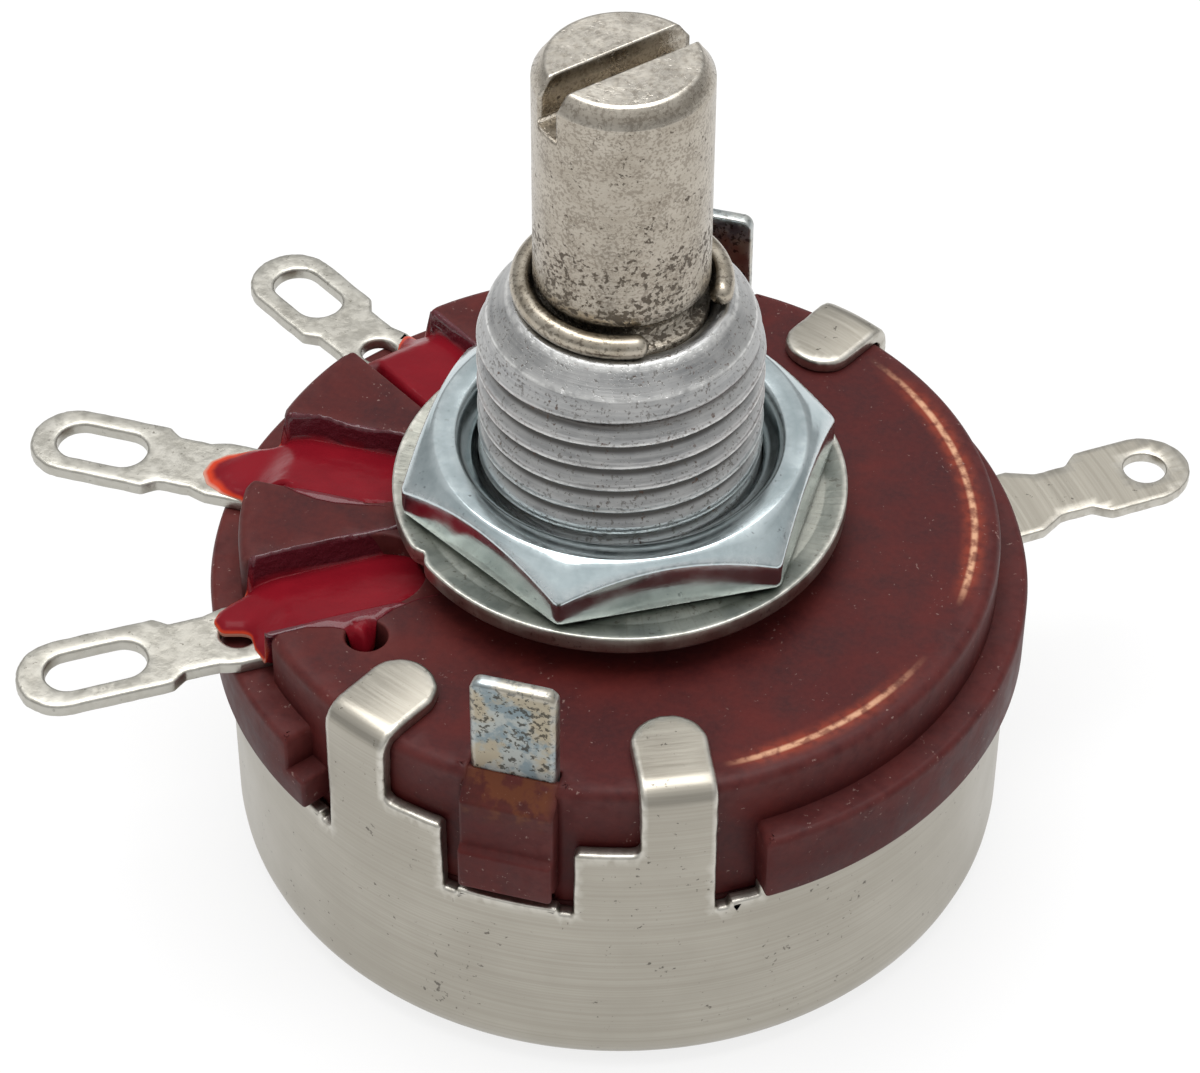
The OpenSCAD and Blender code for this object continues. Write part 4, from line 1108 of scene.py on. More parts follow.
def cast_zinc():
    """Cast zinc: mid grey with fine rings, painted shade in the thread's valleys, painted highlights on the
    crest lips and between the cones, and rust-brown specks.
    """
    made, tree, shader = new_material("cast zinc")
    _, parts, radius = whereabouts(tree)
    lines = use(tree, ROUND_MARKS, across=9000.0, along=90.0)["Lines"]
    patch = use(tree, CLOUDS, size=1.3, detail=6.0, seed=15.0)["Patches"]
    spots = use(tree, SPECKS, size=0.06, amount=0.72)["Mask"]
    rust = use(tree, SPECKS, size=0.12, amount=0.42)["Mask"]
    edges = use(tree, WORN_EDGES, size=0.3, amount=1.0)["Mask"]
    base = mixed(tree, patch, (0.29, 0.295, 0.30, 1), (0.46, 0.46, 0.455, 1))
    base = mixed(tree, spread(tree, lines, 0.35, 0.65, 0.0, 0.5), base, (0.54, 0.54, 0.53, 1))
    # Painted shade: the thread's valleys, where the radius falls below the crests, are darkened as shade.
    below = maths(tree, "LESS_THAN", parts[2], 22.3 * MM)
    deep = maths(tree, "MULTIPLY", spread(tree, radius, 4.79 * MM, 4.66 * MM), below)
    base = laid_over(tree, base, deep, 0.85, (0.055, 0.05, 0.045, 1))
    base = laid_over(tree, base, spots, 0.6, (0.12, 0.11, 0.095, 1))
    base = laid_over(tree, base, rust, 0.60, (0.11, 0.055, 0.035, 1))
    # On the bushing this worn-edge mask also carries the painted highlights on the crest lips and between the
    # cones, besides real wear.
    base = laid_over(tree, base, edges, 0.95, (0.90, 0.90, 0.88, 1))
    tree.links.new(base, shader.inputs["Base Color"])
    tree.links.new(spread(tree, patch, 0.0, 1.0, 0.30, 0.44), shader.inputs["Roughness"])
    shader.inputs["Metallic"].default_value = 1.0
    bumped(tree, shader, maths(tree, "ADD", lines, maths(tree, "MULTIPLY", spots, -1.5)), 0.35, 0.03)
    return made


CAST_ZINC = cast_zinc()
finish_piece(bushing(), CAST_ZINC, "body", "cast_zinc", "bushing")


# Washer
# A flat washer punched from zinc plated steel. It is slightly dished, with a raised burr round its rim, a
# nick from the punch, and scratches where the nut has turned on it.
NUT_Z = 15.15
WASHER_R = 8.0


def washer_wave(angles, radius, height):
    """Slight waviness of the rim and the nick in it."""
    gap = (angles - math.radians(-134.7) + math.pi) % (2 * math.pi) - math.pi
    nick = np.exp(-(gap / 0.035) ** 2) * smooth_step(7.4, 7.9, radius)
    rim = smooth_step(7.2, 8.0, radius)
    height = height + rim * (0.02 * np.sin(3 * angles + 0.7) + 0.012 * np.sin(7 * angles))
    return radius - 0.24 * nick, height, 0 * radius


def washer():
    """Section of the washer, turned."""
    corners = [(5.15, WASHER_Z + 0.02, 0.08), (7.0, WASHER_Z + 0.02, 0.0), (WASHER_R, WASHER_Z + 0.02, 0.2),
               (WASHER_R, NUT_Z + 0.06, 0.07), (7.78, NUT_Z + 0.03, 0.1), (7.2, NUT_Z - 0.05, 0.4),
               (6.6, NUT_Z - 0.02, 0.0), (5.15, NUT_Z - 0.01, 0.08)]
    profile = section(corners, 0.35)
    worn = np.exp(-((profile[:, 0] - 7.95) / 0.12) ** 2) * smooth_step(NUT_Z - 0.2, NUT_Z, profile[:, 1])
    return turned("washer_ring", profile, 288, washer_wave, worn)


def washer_zinc():
    """Dull zinc on the washer, with scratches across the rim."""
    made, tree, shader = new_material("dull zinc")
    _, parts, _ = whereabouts(tree)
    bloom = use(tree, CLOUDS, size=1.2, detail=6.0, seed=16.0)["Patches"]
    spots = use(tree, SPECKS, size=0.12, amount=0.6)["Mask"]
    edges = use(tree, WORN_EDGES, size=0.3, amount=1.0)["Mask"]
    turn = maths(tree, "ARCTAN2", parts[1], parts[0])
    round_way = put(tree, "ShaderNodeCombineXYZ", {
        0: maths(tree, "MULTIPLY", turn, 55.0), 1: 0.0, 2: 0.0}).outputs[0]
    spokes = put(tree, "ShaderNodeTexNoise", {"Vector": round_way, "Scale": 1.0, "Detail": 3.0}).outputs[0]
    base = mixed(tree, bloom, (0.29, 0.295, 0.26, 1), (0.42, 0.42, 0.37, 1))
    base = laid_over(tree, base, spread(tree, spokes, 0.52, 0.7), 0.35, (0.24, 0.22, 0.18, 1))
    base = laid_over(tree, base, spots, 0.6, (0.14, 0.12, 0.10, 1))
    base = laid_over(tree, base, edges, 0.6, (0.72, 0.70, 0.64, 1))
    tree.links.new(base, shader.inputs["Base Color"])
    tree.links.new(spread(tree, bloom, 0.0, 1.0, 0.30, 0.42), shader.inputs["Roughness"])
    shader.inputs["Metallic"].default_value = 1.0
    bumped(tree, shader, maths(tree, "ADD", bloom, spokes), 0.25, 0.03)
    return made


finish_piece(washer(), washer_zinc(), "body", "zinc_plate", "washer")


# Hexagon nut
# A nut cut from zinc plated bar, chamfered round the top, with a countersunk M10x1 hole. The plate is bright
# and bluish, the flats are almost mirrors, and the corners of the chamfer are curved.
NUT_TOP = 17.45
NUT_HALF = 6.8
NUT_FACE_R = 6.5
NUT_SLOPE = 40
SINK_R = 5.75
SINK_DEPTH = 0.7
HOLE_R = 5.0


def hex_reach(angles, half):
    """Distance from the axis to the hexagon's side, with its corners just broken."""
    gap = (angles + math.pi / 6) % (math.pi / 3) - math.pi / 6
    return np.minimum(half / np.cos(gap), half / math.cos(math.pi / 6) - 0.05)


def hex_nut():
    """The nut as rows from its hole's lower edge round its outside and back down the thread."""
    count = 360
    angles = np.linspace(0, 2 * math.pi, count, endpoint=False)
    side = hex_reach(angles, NUT_HALF)
    slope = math.tan(math.radians(NUT_SLOPE))
    rows = []
    foot = 0.26

    def row(radius, height, worn=0.0):
        rows.append((np.broadcast_to(radius, angles.shape), np.broadcast_to(height, angles.shape), worn))
    row(HOLE_R, NUT_Z + 0.25)
    row(HOLE_R + 0.25, NUT_Z + 0.02)
    row(HOLE_R + 0.9, NUT_Z)
    row(side - 0.32, NUT_Z)
    row(side - 0.24, NUT_Z + 0.012, 0.4)
    row(side - 0.03, NUT_Z + foot - 0.03, 0.8)
    row(side, NUT_Z + foot + 0.04, 0.8)
    edge_top = NUT_TOP - np.maximum(side - NUT_FACE_R, 0) * slope
    for share in (0.25, 0.5, 0.75):
        row(side, NUT_Z + foot + 0.04 + (edge_top - 0.09 - NUT_Z - foot - 0.04) * share)
    row(side, edge_top - 0.09, 0.5)
    row(side - 0.012, edge_top - 0.035, 1.0)
    row(side - 0.06, NUT_TOP - np.maximum(side - 0.06 - NUT_FACE_R, 0) * slope - 0.004, 1.0)
    for share in (0.35, 0.7):
        reach = side - 0.06 + (NUT_FACE_R + 0.03 - side + 0.06) * share
        row(reach, NUT_TOP - (reach - NUT_FACE_R) * slope)
    row(NUT_FACE_R + 0.03, NUT_TOP - 0.014, 0.5)
    row(NUT_FACE_R - 0.05, NUT_TOP, 0.4)
    row((NUT_FACE_R + SINK_R) / 2, NUT_TOP)
    row(SINK_R + 0.05, NUT_TOP, 0.3)
    row(SINK_R - 0.03, NUT_TOP - 0.02, 0.5)
    for share in (0.33, 0.66):
        row(SINK_R + (HOLE_R - SINK_R) * share, NUT_TOP - SINK_DEPTH * share)
    row(HOLE_R, NUT_TOP - SINK_DEPTH)
    row(HOLE_R, NUT_TOP - SINK_DEPTH - 0.6)
    total = len(rows)
    radius = np.stack([r for r, _, _ in rows], axis=1)
    height = np.stack([h for _, h, _ in rows], axis=1)
    worn = np.tile([w for _, _, w in rows], count)
    verts = round_points(angles, radius, height)
    return face_out(new_mesh("nut_hexagon", verts, round_faces(count, total), worn))


def bright_zinc():
    """Bright bluish zinc plate, nearly a mirror, with faint stamping rings and scuffed edges."""
    made, tree, shader = new_material("bright zinc plate")
    lines = use(tree, ROUND_MARKS, across=4000.0, along=60.0)["Lines"]
    patch = use(tree, CLOUDS, size=1.6, detail=5.0, seed=17.0)["Patches"]
    spots = use(tree, SPECKS, size=0.09, amount=0.45)["Mask"]
    edges = use(tree, WORN_EDGES, size=0.25, amount=1.0)["Mask"]
    base = mixed(tree, patch, (0.42, 0.50, 0.52, 1), (0.56, 0.64, 0.66, 1))
    base = laid_over(tree, base, spots, 0.6, (0.15, 0.17, 0.18, 1))
    base = laid_over(tree, base, edges, 0.5, (0.80, 0.84, 0.85, 1))
    tree.links.new(base, shader.inputs["Base Color"])
    rough = maths(tree, "ADD", spread(tree, patch, 0.0, 1.0, 0.12, 0.22),
                  maths(tree, "MULTIPLY", edges, 0.1))
    tree.links.new(rough, shader.inputs["Roughness"])
    shader.inputs["Metallic"].default_value = 1.0
    bumped(tree, shader, maths(tree, "ADD", lines, patch), 0.18, 0.02)
    return made


BRIGHT_ZINC = bright_zinc()
finish_piece(hex_nut(), BRIGHT_ZINC, "body", "bright_zinc", "hex_nut")


# Shaft
# Turned steel, nickel plated over a pitted surface, with a chamfered tip and a milled screwdriver slot. It
# runs in the bushing and is held by the clip in its groove; its collar and spigot are hidden in the can.
SHAFT_R = 3.0
SHAFT_TOP = 33.5
TIP_H = 0.64
TIP_IN = 0.45
DRIVER_HALF = 0.525
DRIVER_DEPTH = 1.7
DRIVER_ANGLE = 50.0
COLLAR_R = 4.0
COLLAR_LOW = 4.85
COLLAR_TOP = 5.98
SPIGOT_R = 1.72
GROOVE_LOW = 23.65
GROOVE_TOP = 24.7
GROOVE_R = 2.55


def moon(radius, half, side, counts):
    """Outline of the part of a disc beyond a slot: the arc, then the straight side back."""
    corner = math.asin(half / radius)
    arc_part = np.linspace(corner, math.pi - corner, counts[0] + 1)
    points = np.stack([radius * np.cos(arc_part), radius * np.sin(arc_part)], axis=1)
    line = np.linspace(points[-1], points[0], counts[1] + 1)[1:-1]
    return np.concatenate([points, line]) * side


def shaft():
    """A turned bar that ends in two half moons on either side of the slot."""
    counts = (112, 22)
    mouth = 10
    corner = math.asin(DRIVER_HALF / SHAFT_R)
    angles = np.concatenate([np.linspace(-corner, corner, mouth + 1)[:-1],
                             np.linspace(corner, math.pi - corner, counts[0] + 1)[:-1],
                             np.linspace(math.pi - corner, math.pi + corner, mouth + 1)[:-1],
                             np.linspace(math.pi + corner, 2 * math.pi - corner, counts[0] + 1)[:-1]])
    count = len(angles)
    floor_z = SHAFT_TOP - DRIVER_DEPTH
    profile = [(1.6, COLLAR_LOW), (COLLAR_R - 0.1, COLLAR_LOW), (COLLAR_R, COLLAR_LOW + 0.1),
               (COLLAR_R, COLLAR_TOP - 0.08), (COLLAR_R - 0.08, COLLAR_TOP), (SHAFT_R, COLLAR_TOP),
               (SHAFT_R, 12.0), (SHAFT_R, 18.0)]
    profile += [(SHAFT_R, z) for z in np.linspace(22.0, GROOVE_LOW - 0.05, 4)]
    profile += [(2.95, GROOVE_LOW), (GROOVE_R, GROOVE_LOW), (GROOVE_R, GROOVE_TOP), (2.93, GROOVE_TOP),
                (2.98, GROOVE_TOP + 0.02), (SHAFT_R, GROOVE_TOP + 0.07)]
    profile += [(SHAFT_R, z) for z in np.linspace(25.2, floor_z, 22)]
    verts = []
    for radius, height in profile:
        verts += [(radius * math.cos(a), radius * math.sin(a), height) for a in angles]
    faces = [tuple(reversed(range(count)))]
    for k in range(len(profile) - 1):
        for i in range(count):
            j = (i + 1) % count
            faces.append((k * count + i, k * count + j, (k + 1) * count + j, (k + 1) * count + i))
    top = (len(profile) - 1) * count
    worn = [0.0] * len(verts)
    steps = [(0.0, DRIVER_HALF, z, 0.0) for z in np.linspace(floor_z + 0.3, SHAFT_TOP - TIP_H - 0.05, 5)]
    steps += [(0.012, DRIVER_HALF, SHAFT_TOP - TIP_H + 0.02, 0.4),
              (0.20, DRIVER_HALF + 0.002, SHAFT_TOP - TIP_H + 0.28, 0.0),
              (TIP_IN - 0.06, DRIVER_HALF + 0.01, SHAFT_TOP - 0.07, 0.3),
              (TIP_IN + 0.02, DRIVER_HALF + 0.035, SHAFT_TOP - 0.015, 1.0),
              (TIP_IN + 0.12, DRIVER_HALF + 0.08, SHAFT_TOP, 0.8)]
    floor = []
    for side, first in ((1, mouth), (-1, 2 * mouth + counts[0])):
        ring = [top + (first + i) % count for i in range(counts[0] + 1)]
        line = np.linspace(verts[ring[-1]], verts[ring[0]], counts[1] + 1)[1:-1]
        start = len(verts)
        verts += [tuple(p) for p in line]
        worn += [0.0] * len(line)
        below = ring + list(range(start, start + len(line)))
        floor.append(below[counts[0]:] + [below[0]])
        for inset, half, height, edge in steps:
            outline = moon(SHAFT_R - inset, half, side, counts)
            start = len(verts)
            verts += [(x, y, height) for x, y in outline]
            worn += [edge] * len(outline)
            above = list(range(start, start + len(outline)))
            size = len(below)
            for i in range(size):
                n = (i + 1) % size
                faces.append((below[i], below[n], above[n], above[i]))
            below = above
        faces.append(tuple(below))
    gap_a = [top + i for i in range(mouth + 1)]
    gap_b = [top + mouth + counts[0] + i for i in range(mouth + 1)]
    upper = floor[0]
    lower = floor[1]
    faces.append(tuple(gap_a + list(reversed(upper))[1:-1] + gap_b + list(reversed(lower))[1:-1]))
    made = new_mesh("shaft_bar", verts, faces, worn)
    made.data.transform(Matrix.Rotation(math.radians(DRIVER_ANGLE), 4, "Z"))
    face_out(made)
    riveted = [(0.4, 2.7, 0.0), (2.3, 2.7, 0.3), (2.7, 3.4, 0.1), (SPIGOT_R, 3.4, 0.0),
               (SPIGOT_R, 5.0, 0.0), (0.4, 5.0, 0.0)]
    spigot = turned("spigot", section(riveted, 1.0), 64)
    return joined("shaft_bar", made, spigot)


def shaft_nickel():
    """Warm nickel over pitted steel, with more pits and dirt towards the clip."""
    made, tree, shader = new_material("pitted nickel")
    _, parts, _ = whereabouts(tree)
    lines = use(tree, ROUND_MARKS, across=7000.0, along=120.0)["Lines"]
    patch = use(tree, CLOUDS, size=1.2, detail=6.0, seed=18.0)["Patches"]
    low = spread(tree, parts[2], 30.0 * MM, 24.8 * MM)
    more = maths(tree, "ADD", 0.50, maths(tree, "MULTIPLY", low, 0.42))
    pits = use(tree, SPECKS, size=0.10, amount=more)["Mask"]
    dots = use(tree, SPECKS, size=0.055, amount=0.95)["Mask"]
    edges = use(tree, WORN_EDGES, size=0.25, amount=1.0)["Mask"]
    base = mixed(tree, patch, (0.34, 0.30, 0.245, 1), (0.50, 0.455, 0.385, 1))
    base = mixed(tree, spread(tree, lines, 0.35, 0.7, 0.0, 0.35), base, (0.56, 0.52, 0.45, 1))
    base = laid_over(tree, base, pits, 0.8, (0.07, 0.055, 0.04, 1))
    base = laid_over(tree, base, dots, 0.5, (0.16, 0.13, 0.10, 1))
    base = laid_over(tree, base, edges, 0.55, (0.78, 0.75, 0.68, 1))
    tree.links.new(base, shader.inputs["Base Color"])
    rough = maths(tree, "ADD", spread(tree, patch, 0.0, 1.0, 0.24, 0.36),
                  maths(tree, "MULTIPLY", pits, 0.2))
    tree.links.new(rough, shader.inputs["Roughness"])
    shader.inputs["Metallic"].default_value = 1.0
    bumped(tree, shader, maths(tree, "ADD", lines, maths(tree, "MULTIPLY", pits, -2.0)), 0.35, 0.03)
    return made


SHAFT_NICKEL = shaft_nickel()
finish_piece(shaft(), SHAFT_NICKEL, "rotor", "shaft_steel", "shaft")


# Retaining clip
# A ring of spring wire, left open, that snaps into the shaft's groove and runs on the bushing's end. Its
# ends are cut round, its outside keeps the plain worn nickel, and its inner side, against the shaft, is
# painted darker as shade.
CLIP_R = 3.38
WIRE_R = 0.42
CLIP_Z = 24.24
CLIP_START = 5.0
CLIP_END = 294.0


def clip():
    """Wire swept round the open ring, with rounded ends."""
    start = math.radians(CLIP_START)
    end = math.radians(CLIP_END)
    along_ring = 150
    around = 24
    cap = 0.9 * WIRE_R / CLIP_R
    ends = [0.28, 0.55, 0.78, 0.92]
    rings = [(start - cap * math.sqrt(1 - s * s), s) for s in ends]
    rings += [(start + (end - start) * i / along_ring, 1.0) for i in range(along_ring + 1)]
    rings += [(end + cap * math.sqrt(1 - s * s), s) for s in reversed(ends)]
    verts = []
    faces = []
    for angle, size in rings:
        lift = 0.018 * math.sin(2 * angle + 0.5)
        radius = CLIP_R + 0.02 * math.sin(3 * angle)
        for k in range(around):
            turn = 2 * math.pi * k / around
            out = WIRE_R * size * math.cos(turn)
            up = WIRE_R * size * math.sin(turn)
            reach = radius + out
            verts.append((reach * math.cos(angle), reach * math.sin(angle), CLIP_Z + lift + up))
    for i in range(len(rings) - 1):
        for k in range(around):
            n = (k + 1) % around
            faces.append((i * around + k, i * around + n, (i + 1) * around + n, (i + 1) * around + k))
    faces.append(tuple(range(around)))
    last = (len(rings) - 1) * around
    faces.append(tuple(reversed(range(last, last + around))))
    return face_out(new_mesh("clip_wire", verts, faces, [0.0] * len(verts)))


def clip_wire():
    """Worn nickel on spring wire, brownish, with painted shade on its inner side, against the shaft."""
    made, tree, shader = new_material("worn wire")
    _, _, radius = whereabouts(tree)
    patch = use(tree, CLOUDS, size=0.9, detail=5.0, seed=19.0)["Patches"]
    pits = use(tree, SPECKS, size=0.07, amount=0.8)["Mask"]
    # Painted shade: the inner side of the wire, against the shaft, is darkened as shade.
    inner = spread(tree, radius, 3.35 * MM, 3.10 * MM)
    base = mixed(tree, patch, (0.33, 0.285, 0.22, 1), (0.50, 0.455, 0.38, 1))
    base = laid_over(tree, base, pits, 0.6, (0.10, 0.08, 0.06, 1))
    base = laid_over(tree, base, inner, 0.6, (0.09, 0.065, 0.04, 1))
    tree.links.new(base, shader.inputs["Base Color"])
    tree.links.new(spread(tree, patch, 0.0, 1.0, 0.22, 0.34), shader.inputs["Roughness"])
    shader.inputs["Metallic"].default_value = 1.0
    return made


finish_piece(clip(), clip_wire(), "rotor", "shaft_steel", "retaining_clip")


# Sealing lacquer
# Red lacquer run over the riveted roots of the terminals. It has filled the channels, wetted their walls
# and crept out over the tinned metal, where it is thin and shows orange. It dried glossy and wrinkled.
LACQUER_EDGES = (
    [(7.0, -1.96), (12.9, -1.96), (13.45, -1.45), (14.1, -1.38), (13.75, -0.75), (13.28, -0.3),
     (13.28, 0.35), (13.5, 0.75), (13.75, 1.1), (13.3, 1.5), (12.3, 1.62), (11.4, 1.7), (10.2, 1.76),
     (7.0, 1.74)],
    [(7.0, -1.96), (11.0, -1.98), (12.9, -1.95), (13.35, -1.62), (14.25, -1.2), (15.1, -0.75),
     (15.55, -0.25), (15.65, 0.4), (15.3, 0.95), (14.6, 1.3), (13.75, 1.42), (13.5, 1.76), (12.9, 1.84),
     (12.1, 1.8), (11.4, 2.05), (10.6, 2.2), (9.9, 2.2), (9.0, 2.05), (8.1, 1.85), (7.0, 1.85)],
    [(7.0, -1.96), (9.0, -1.97), (11.0, -1.99), (12.9, -1.95), (13.3, -1.62), (13.9, -1.4), (14.4, -1.15),
     (14.72, -0.75), (14.6, -0.1), (13.9, 0.12), (13.62, 0.3), (13.66, 1.0), (13.5, 1.6), (13.42, 2.1),
     (12.8, 2.05), (12.0, 2.05), (11.2, 2.3), (10.85, 2.5), (10.5, 2.95), (10.2, 3.25), (9.9, 2.85),
     (9.6, 2.45), (8.9, 2.1), (8.0, 1.9), (7.0, 1.9)])
LACQUER_FAR = (12.75, 12.45, 12.3)
LACQUER_TIP = (0.10, 0.22, 0.26)
PIP_IN_CHANNEL = (10.16, 3.03)


def lacquer_bed(k, u, v):
    """Height of what the lacquer lies on: the terminal, the channel's walls and the body's top."""
    far = smooth_step(CHANNEL_HALF - 0.24, CHANNEL_HALF + 0.02, -v)
    near = smooth_step(CHANNEL_HALF - 0.10, CHANNEL_HALF + 0.05, v)
    wall = np.maximum(far, near) * (u < BODY_R + 0.05)
    bed = TERM_TOP + (BODY_TOP - TERM_TOP) * wall
    pit = smooth_step(0.78, 0.45, np.hypot(u - PIP_IN_CHANNEL[0], v - PIP_IN_CHANNEL[1])) * (k == 2)
    return bed - 0.9 * pit


def lacquer_level(k, u, v):
    """Height of the lacquer, a pool that has run to the near wall, and where it is but a film above it."""
    bed = lacquer_bed(k, u, v)
    across = np.clip((v + CHANNEL_HALF) / (2 * CHANNEL_HALF), 0, 1)
    pool = LACQUER_FAR[k] + (BODY_TOP - 0.03 - LACQUER_FAR[k]) * across ** 0.8
    pool = pool - smooth_step(11.9, 13.9, u) * (pool - TERM_TOP - LACQUER_TIP[k])
    fold = np.array([noise.noise(Vector((a * 0.55, b * 2.6, 50.0 + k))) for a, b in zip(u, v)])
    drawn = smooth_step(-1.0, -1.75, v) * smooth_step(14.0, 13.0, u)
    film = bed + 0.05 + drawn * np.clip(0.10 + 0.45 * fold, 0, 0.4)
    hang = smooth_step(2.3, 3.1, v) * (k == 2)
    film = film * (1 - hang) + (BODY_TOP + 0.06 - 0.75 * hang) * hang
    return np.logaddexp(pool * 14, film * 14) / 14, smooth_step(0.0, 0.14, film - pool)


def lacquer(k):
    """One pool of lacquer, with how thick it is and whether it lies on metal at each point."""
    corners = [(u, v, 0.3) for u, v in LACQUER_EDGES[k]]
    outline = rounded_path(corners, 0.08, 0.16)
    grid = square_grid(7.0, 15.6, -1.5, 3.3, 0.13)
    rows = [(u, v) for v in np.arange(-1.84, -1.5, 0.04) for u in np.arange(7.1, 13.6, 0.11)]
    grid = np.concatenate([grid, rows])
    lay = upright(TERM_ANGLES[k], 0.0)
    seen = {}

    def fold(points, depth):
        u, v = points[:, 0], points[:, 1]
        bed = lacquer_bed(k, u, v)
        gap = np.full(len(points), 9.0)
        for start in range(0, len(outline), 32):
            apart = points[:, None, :] - outline[None, start:start + 32, :]
            gap = np.minimum(gap, np.sqrt((apart ** 2).sum(axis=2)).min(axis=1))
        rise = np.sqrt(np.clip(gap / 0.32, 0, 1))
        if k == 1:
            fringe = smooth_step(13.9, 14.9, u)
            rise = rise * (1 - fringe) + np.clip(gap / 0.75, 0, 1) * fringe
        ripple = np.array([noise.noise(Vector((a * 0.8, b * 1.6, 40.0 + k))) for a, b in points]) * 0.02
        level, film = lacquer_level(k, u, v)
        top = bed + (level + ripple - bed) * rise + 0.012
        seen["thick"] = np.clip(top - bed, 0, 1)
        seen["metal"] = 1.0 * ((bed < TERM_TOP + 0.2) & (u > 13.0))
        seen["film"] = film * (1 - seen["metal"])
        low = bed - 0.12
        share = np.clip(depth / 0.1, 0, 1)
        placed = lay(points, 0 * depth)
        placed[:, 2] = top * (1 - share) + low * share
        return placed
    pool = pressed(f"lacquer_pool_{k + 1}", [outline], grid, fold, 0.1, upper=0.02, lower=0.02)
    for name, values in seen.items():
        given = pool.data.attributes.new(name, "FLOAT", "POINT")
        given.data.foreach_set("value", np.asarray(values, np.float32))
    return pool


def red_lacquer():
    """Red lacquer: deep in the pool, dark and glossy where it films the moulding, orange on bare metal."""
    made, tree, shader = new_material("red lacquer")
    thick = put(tree, "ShaderNodeAttribute", attribute_name="thick").outputs["Fac"]
    metal = put(tree, "ShaderNodeAttribute", attribute_name="metal").outputs["Fac"]
    cloud = use(tree, CLOUDS, size=1.8, detail=3.0, seed=21.0)["Patches"]
    base = mixed(tree, cloud, (0.150, 0.0042, 0.0095, 1), (0.180, 0.0056, 0.0115, 1))
    on_body = put(tree, "ShaderNodeAttribute", attribute_name="film").outputs["Fac"]
    base = laid_over(tree, base, on_body, 0.85, (0.062, 0.0105, 0.0165, 1))
    thin = maths(tree, "MULTIPLY", spread(tree, thick, 0.16, 0.07), metal)
    base = laid_over(tree, base, thin, 0.9, (0.52, 0.045, 0.014, 1))
    veil = maths(tree, "MULTIPLY", spread(tree, thick, 0.07, 0.02), metal)
    base = laid_over(tree, base, veil, 0.75, (0.52, 0.30, 0.23, 1))
    tree.links.new(base, shader.inputs["Base Color"])
    tree.links.new(maths(tree, "MULTIPLY", on_body, 0.8), shader.inputs["Coat Weight"])
    shader.inputs["Roughness"].default_value = 0.28
    shader.inputs["Specular IOR Level"].default_value = 0.10
    shader.inputs["Coat Roughness"].default_value = 0.05
    wrinkle = use(tree, CLOUDS, size=0.6, detail=4.0, seed=23.0)["Patches"]
    folds = maths(tree, "MULTIPLY", maths(tree, "MULTIPLY", wrinkle, on_body), 3.0)
    bumped(tree, shader, maths(tree, "ADD", cloud, folds), 0.4, 0.06)
    return made


RED_LACQUER = red_lacquer()
for k in range(3):
    finish_piece(lacquer(k), RED_LACQUER, "body", "red_lacquer", f"lacquer_{k + 1}")


# Studio
# A wide pale floor under the part, soft light from a sky that is brighter overhead, one broad lamp above,
# and the camera where the photographer stood.
FLOOR_R = 3.0


def studio_floor():
    """A disc of white paper that fades to the background's white."""
    work = bmesh.new()
    bmesh.ops.create_circle(work, cap_ends=True, radius=FLOOR_R, segments=96)
    mesh = bpy.data.meshes.new("studio_floor")
    work.to_mesh(mesh)
    work.free()
    floor = bpy.data.objects.new("studio_floor", mesh)
    floor.location.z = -0.00002
    bpy.context.scene.collection.objects.link(floor)
    made, tree, shader = new_material("white floor")
    shader.inputs["Base Color"].default_value = (0.86, 0.86, 0.86, 1)
    shader.inputs["Roughness"].default_value = 0.9
    rays = put(tree, "ShaderNodeLightPath").outputs
    seen = maths(tree, "MAXIMUM", rays["Is Camera Ray"], maths(
        tree, "MAXIMUM", rays["Is Glossy Ray"], rays["Is Transmission Ray"]))
    glow = put(tree, "ShaderNodeEmission", {"Color": (1, 1, 1, 1), "Strength": 1.0}).outputs[0]
    share = maths(tree, "MULTIPLY", seen, 0.78)
    both = put(tree, "ShaderNodeMixShader", {0: share, 1: shader.outputs[0], 2: glow}).outputs[0]
    tree.links.new(both, tree.nodes["Material Output"].inputs["Surface"])
    mesh.materials.append(made)


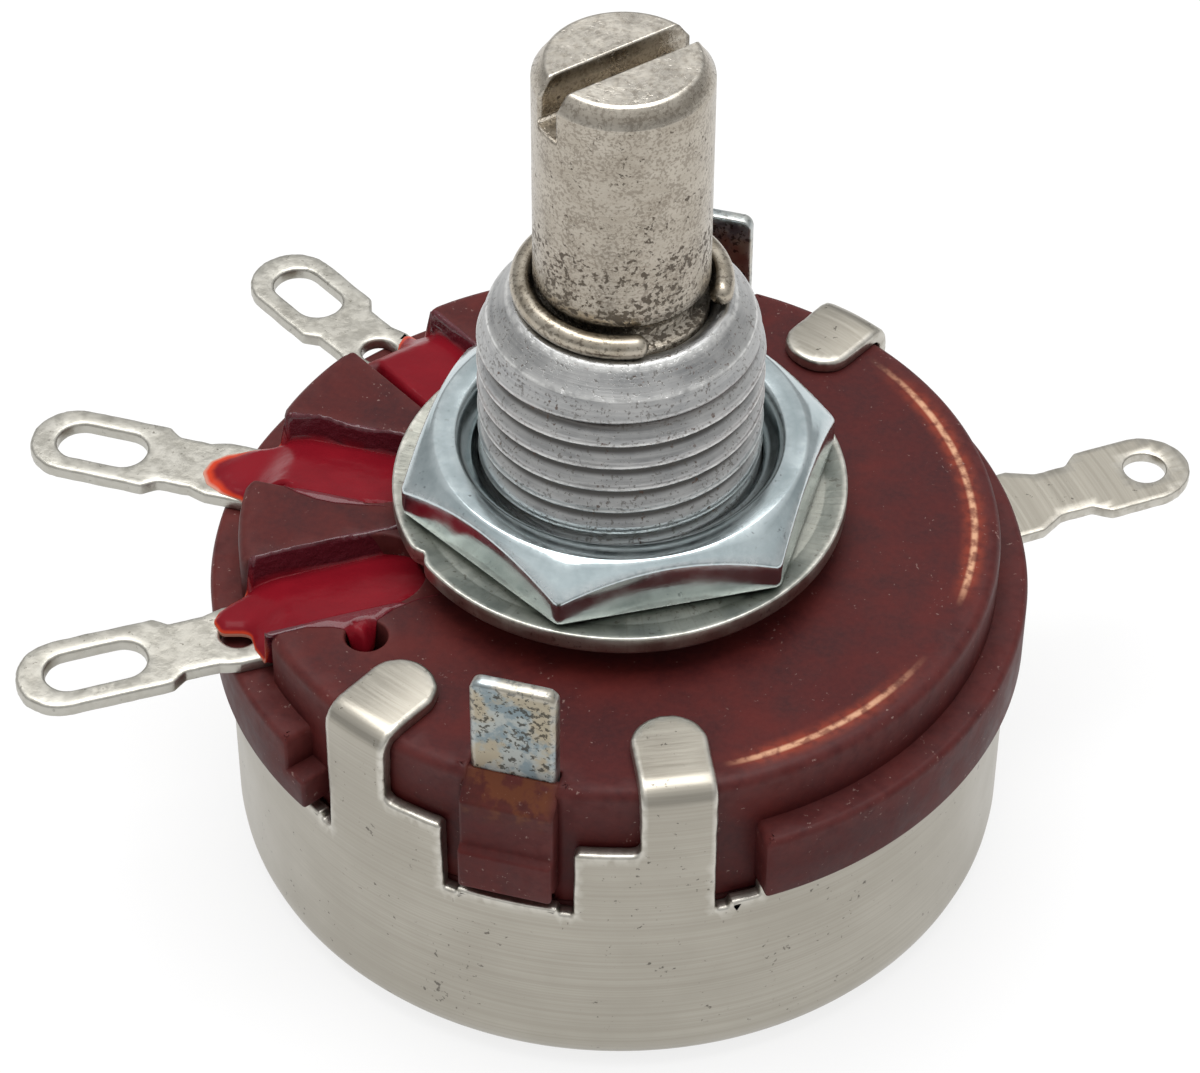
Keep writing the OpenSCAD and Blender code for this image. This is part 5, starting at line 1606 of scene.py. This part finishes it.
def studio_sky():
    """A soft dome: darker at the horizon, bright overhead."""
    world = bpy.data.worlds.new("studio sky")
    bpy.context.scene.world = world
    world.use_nodes = True
    tree = world.node_tree
    way = put(tree, "ShaderNodeTexCoord").outputs["Generated"]
    height = put(tree, "ShaderNodeSeparateXYZ", {0: way}).outputs[2]
    ramp = put(tree, "ShaderNodeValToRGB", {0: height})
    stops = ((0.0, 0.42), (0.35, 0.50), (0.62, 0.72), (0.85, 1.0), (1.0, 1.15))
    ramp.color_ramp.elements[0].position = stops[0][0]
    ramp.color_ramp.elements[1].position = stops[-1][0]
    for place, _ in stops[1:-1]:
        ramp.color_ramp.elements.new(place)
    for element, (_, level) in zip(ramp.color_ramp.elements, stops):
        element.color = (level, level, level, 1)
    rays = put(tree, "ShaderNodeLightPath").outputs
    seen = rays["Is Camera Ray"]
    shade = mixed(tree, seen, ramp.outputs[0], (1, 1, 1, 1))
    back = tree.nodes["Background"]
    tree.links.new(shade, back.inputs[0])
    back.inputs[1].default_value = 1.0


def studio_lamp(name, place, size, power):
    """A square soft lamp that looks at the part."""
    light = bpy.data.lights.new(name, "AREA")
    light.size = size
    light.energy = power
    lamp = bpy.data.objects.new(name, light)
    lamp.location = place
    aim = Vector((0, 0, 0.012)) - Vector(place)
    lamp.rotation_euler = aim.to_track_quat("-Z", "Y").to_euler()
    bpy.context.scene.collection.objects.link(lamp)


def photo_camera():
    """The camera as fitted to the photograph."""
    data = bpy.data.cameras.new("photo camera")
    data.lens = 121.55
    data.sensor_width = 36.0
    data.clip_start = 0.01
    camera = bpy.data.objects.new("photo camera", data)
    forward = Vector((-0.19693, 0.69695, -0.68956)).normalized()
    level = forward.cross(Vector((0, 0, 1))).normalized()
    up = level.cross(forward)
    roll = 0.00457
    right = level * math.cos(roll) + up * math.sin(roll)
    top = up * math.cos(roll) - level * math.sin(roll)
    turn = Matrix((right, top, -forward)).transposed()
    place = Vector((27.74, -100.715, 111.826)) * MM
    camera.matrix_world = Matrix.Translation(place) @ turn.to_4x4()
    bpy.context.scene.collection.objects.link(camera)
    bpy.context.scene.camera = camera


studio_floor()
studio_sky()
studio_lamp("softbox", (-0.03, 0.05, 0.36), 0.30, 1.1)
photo_camera()
bpy.context.scene.view_settings.view_transform = "Standard"
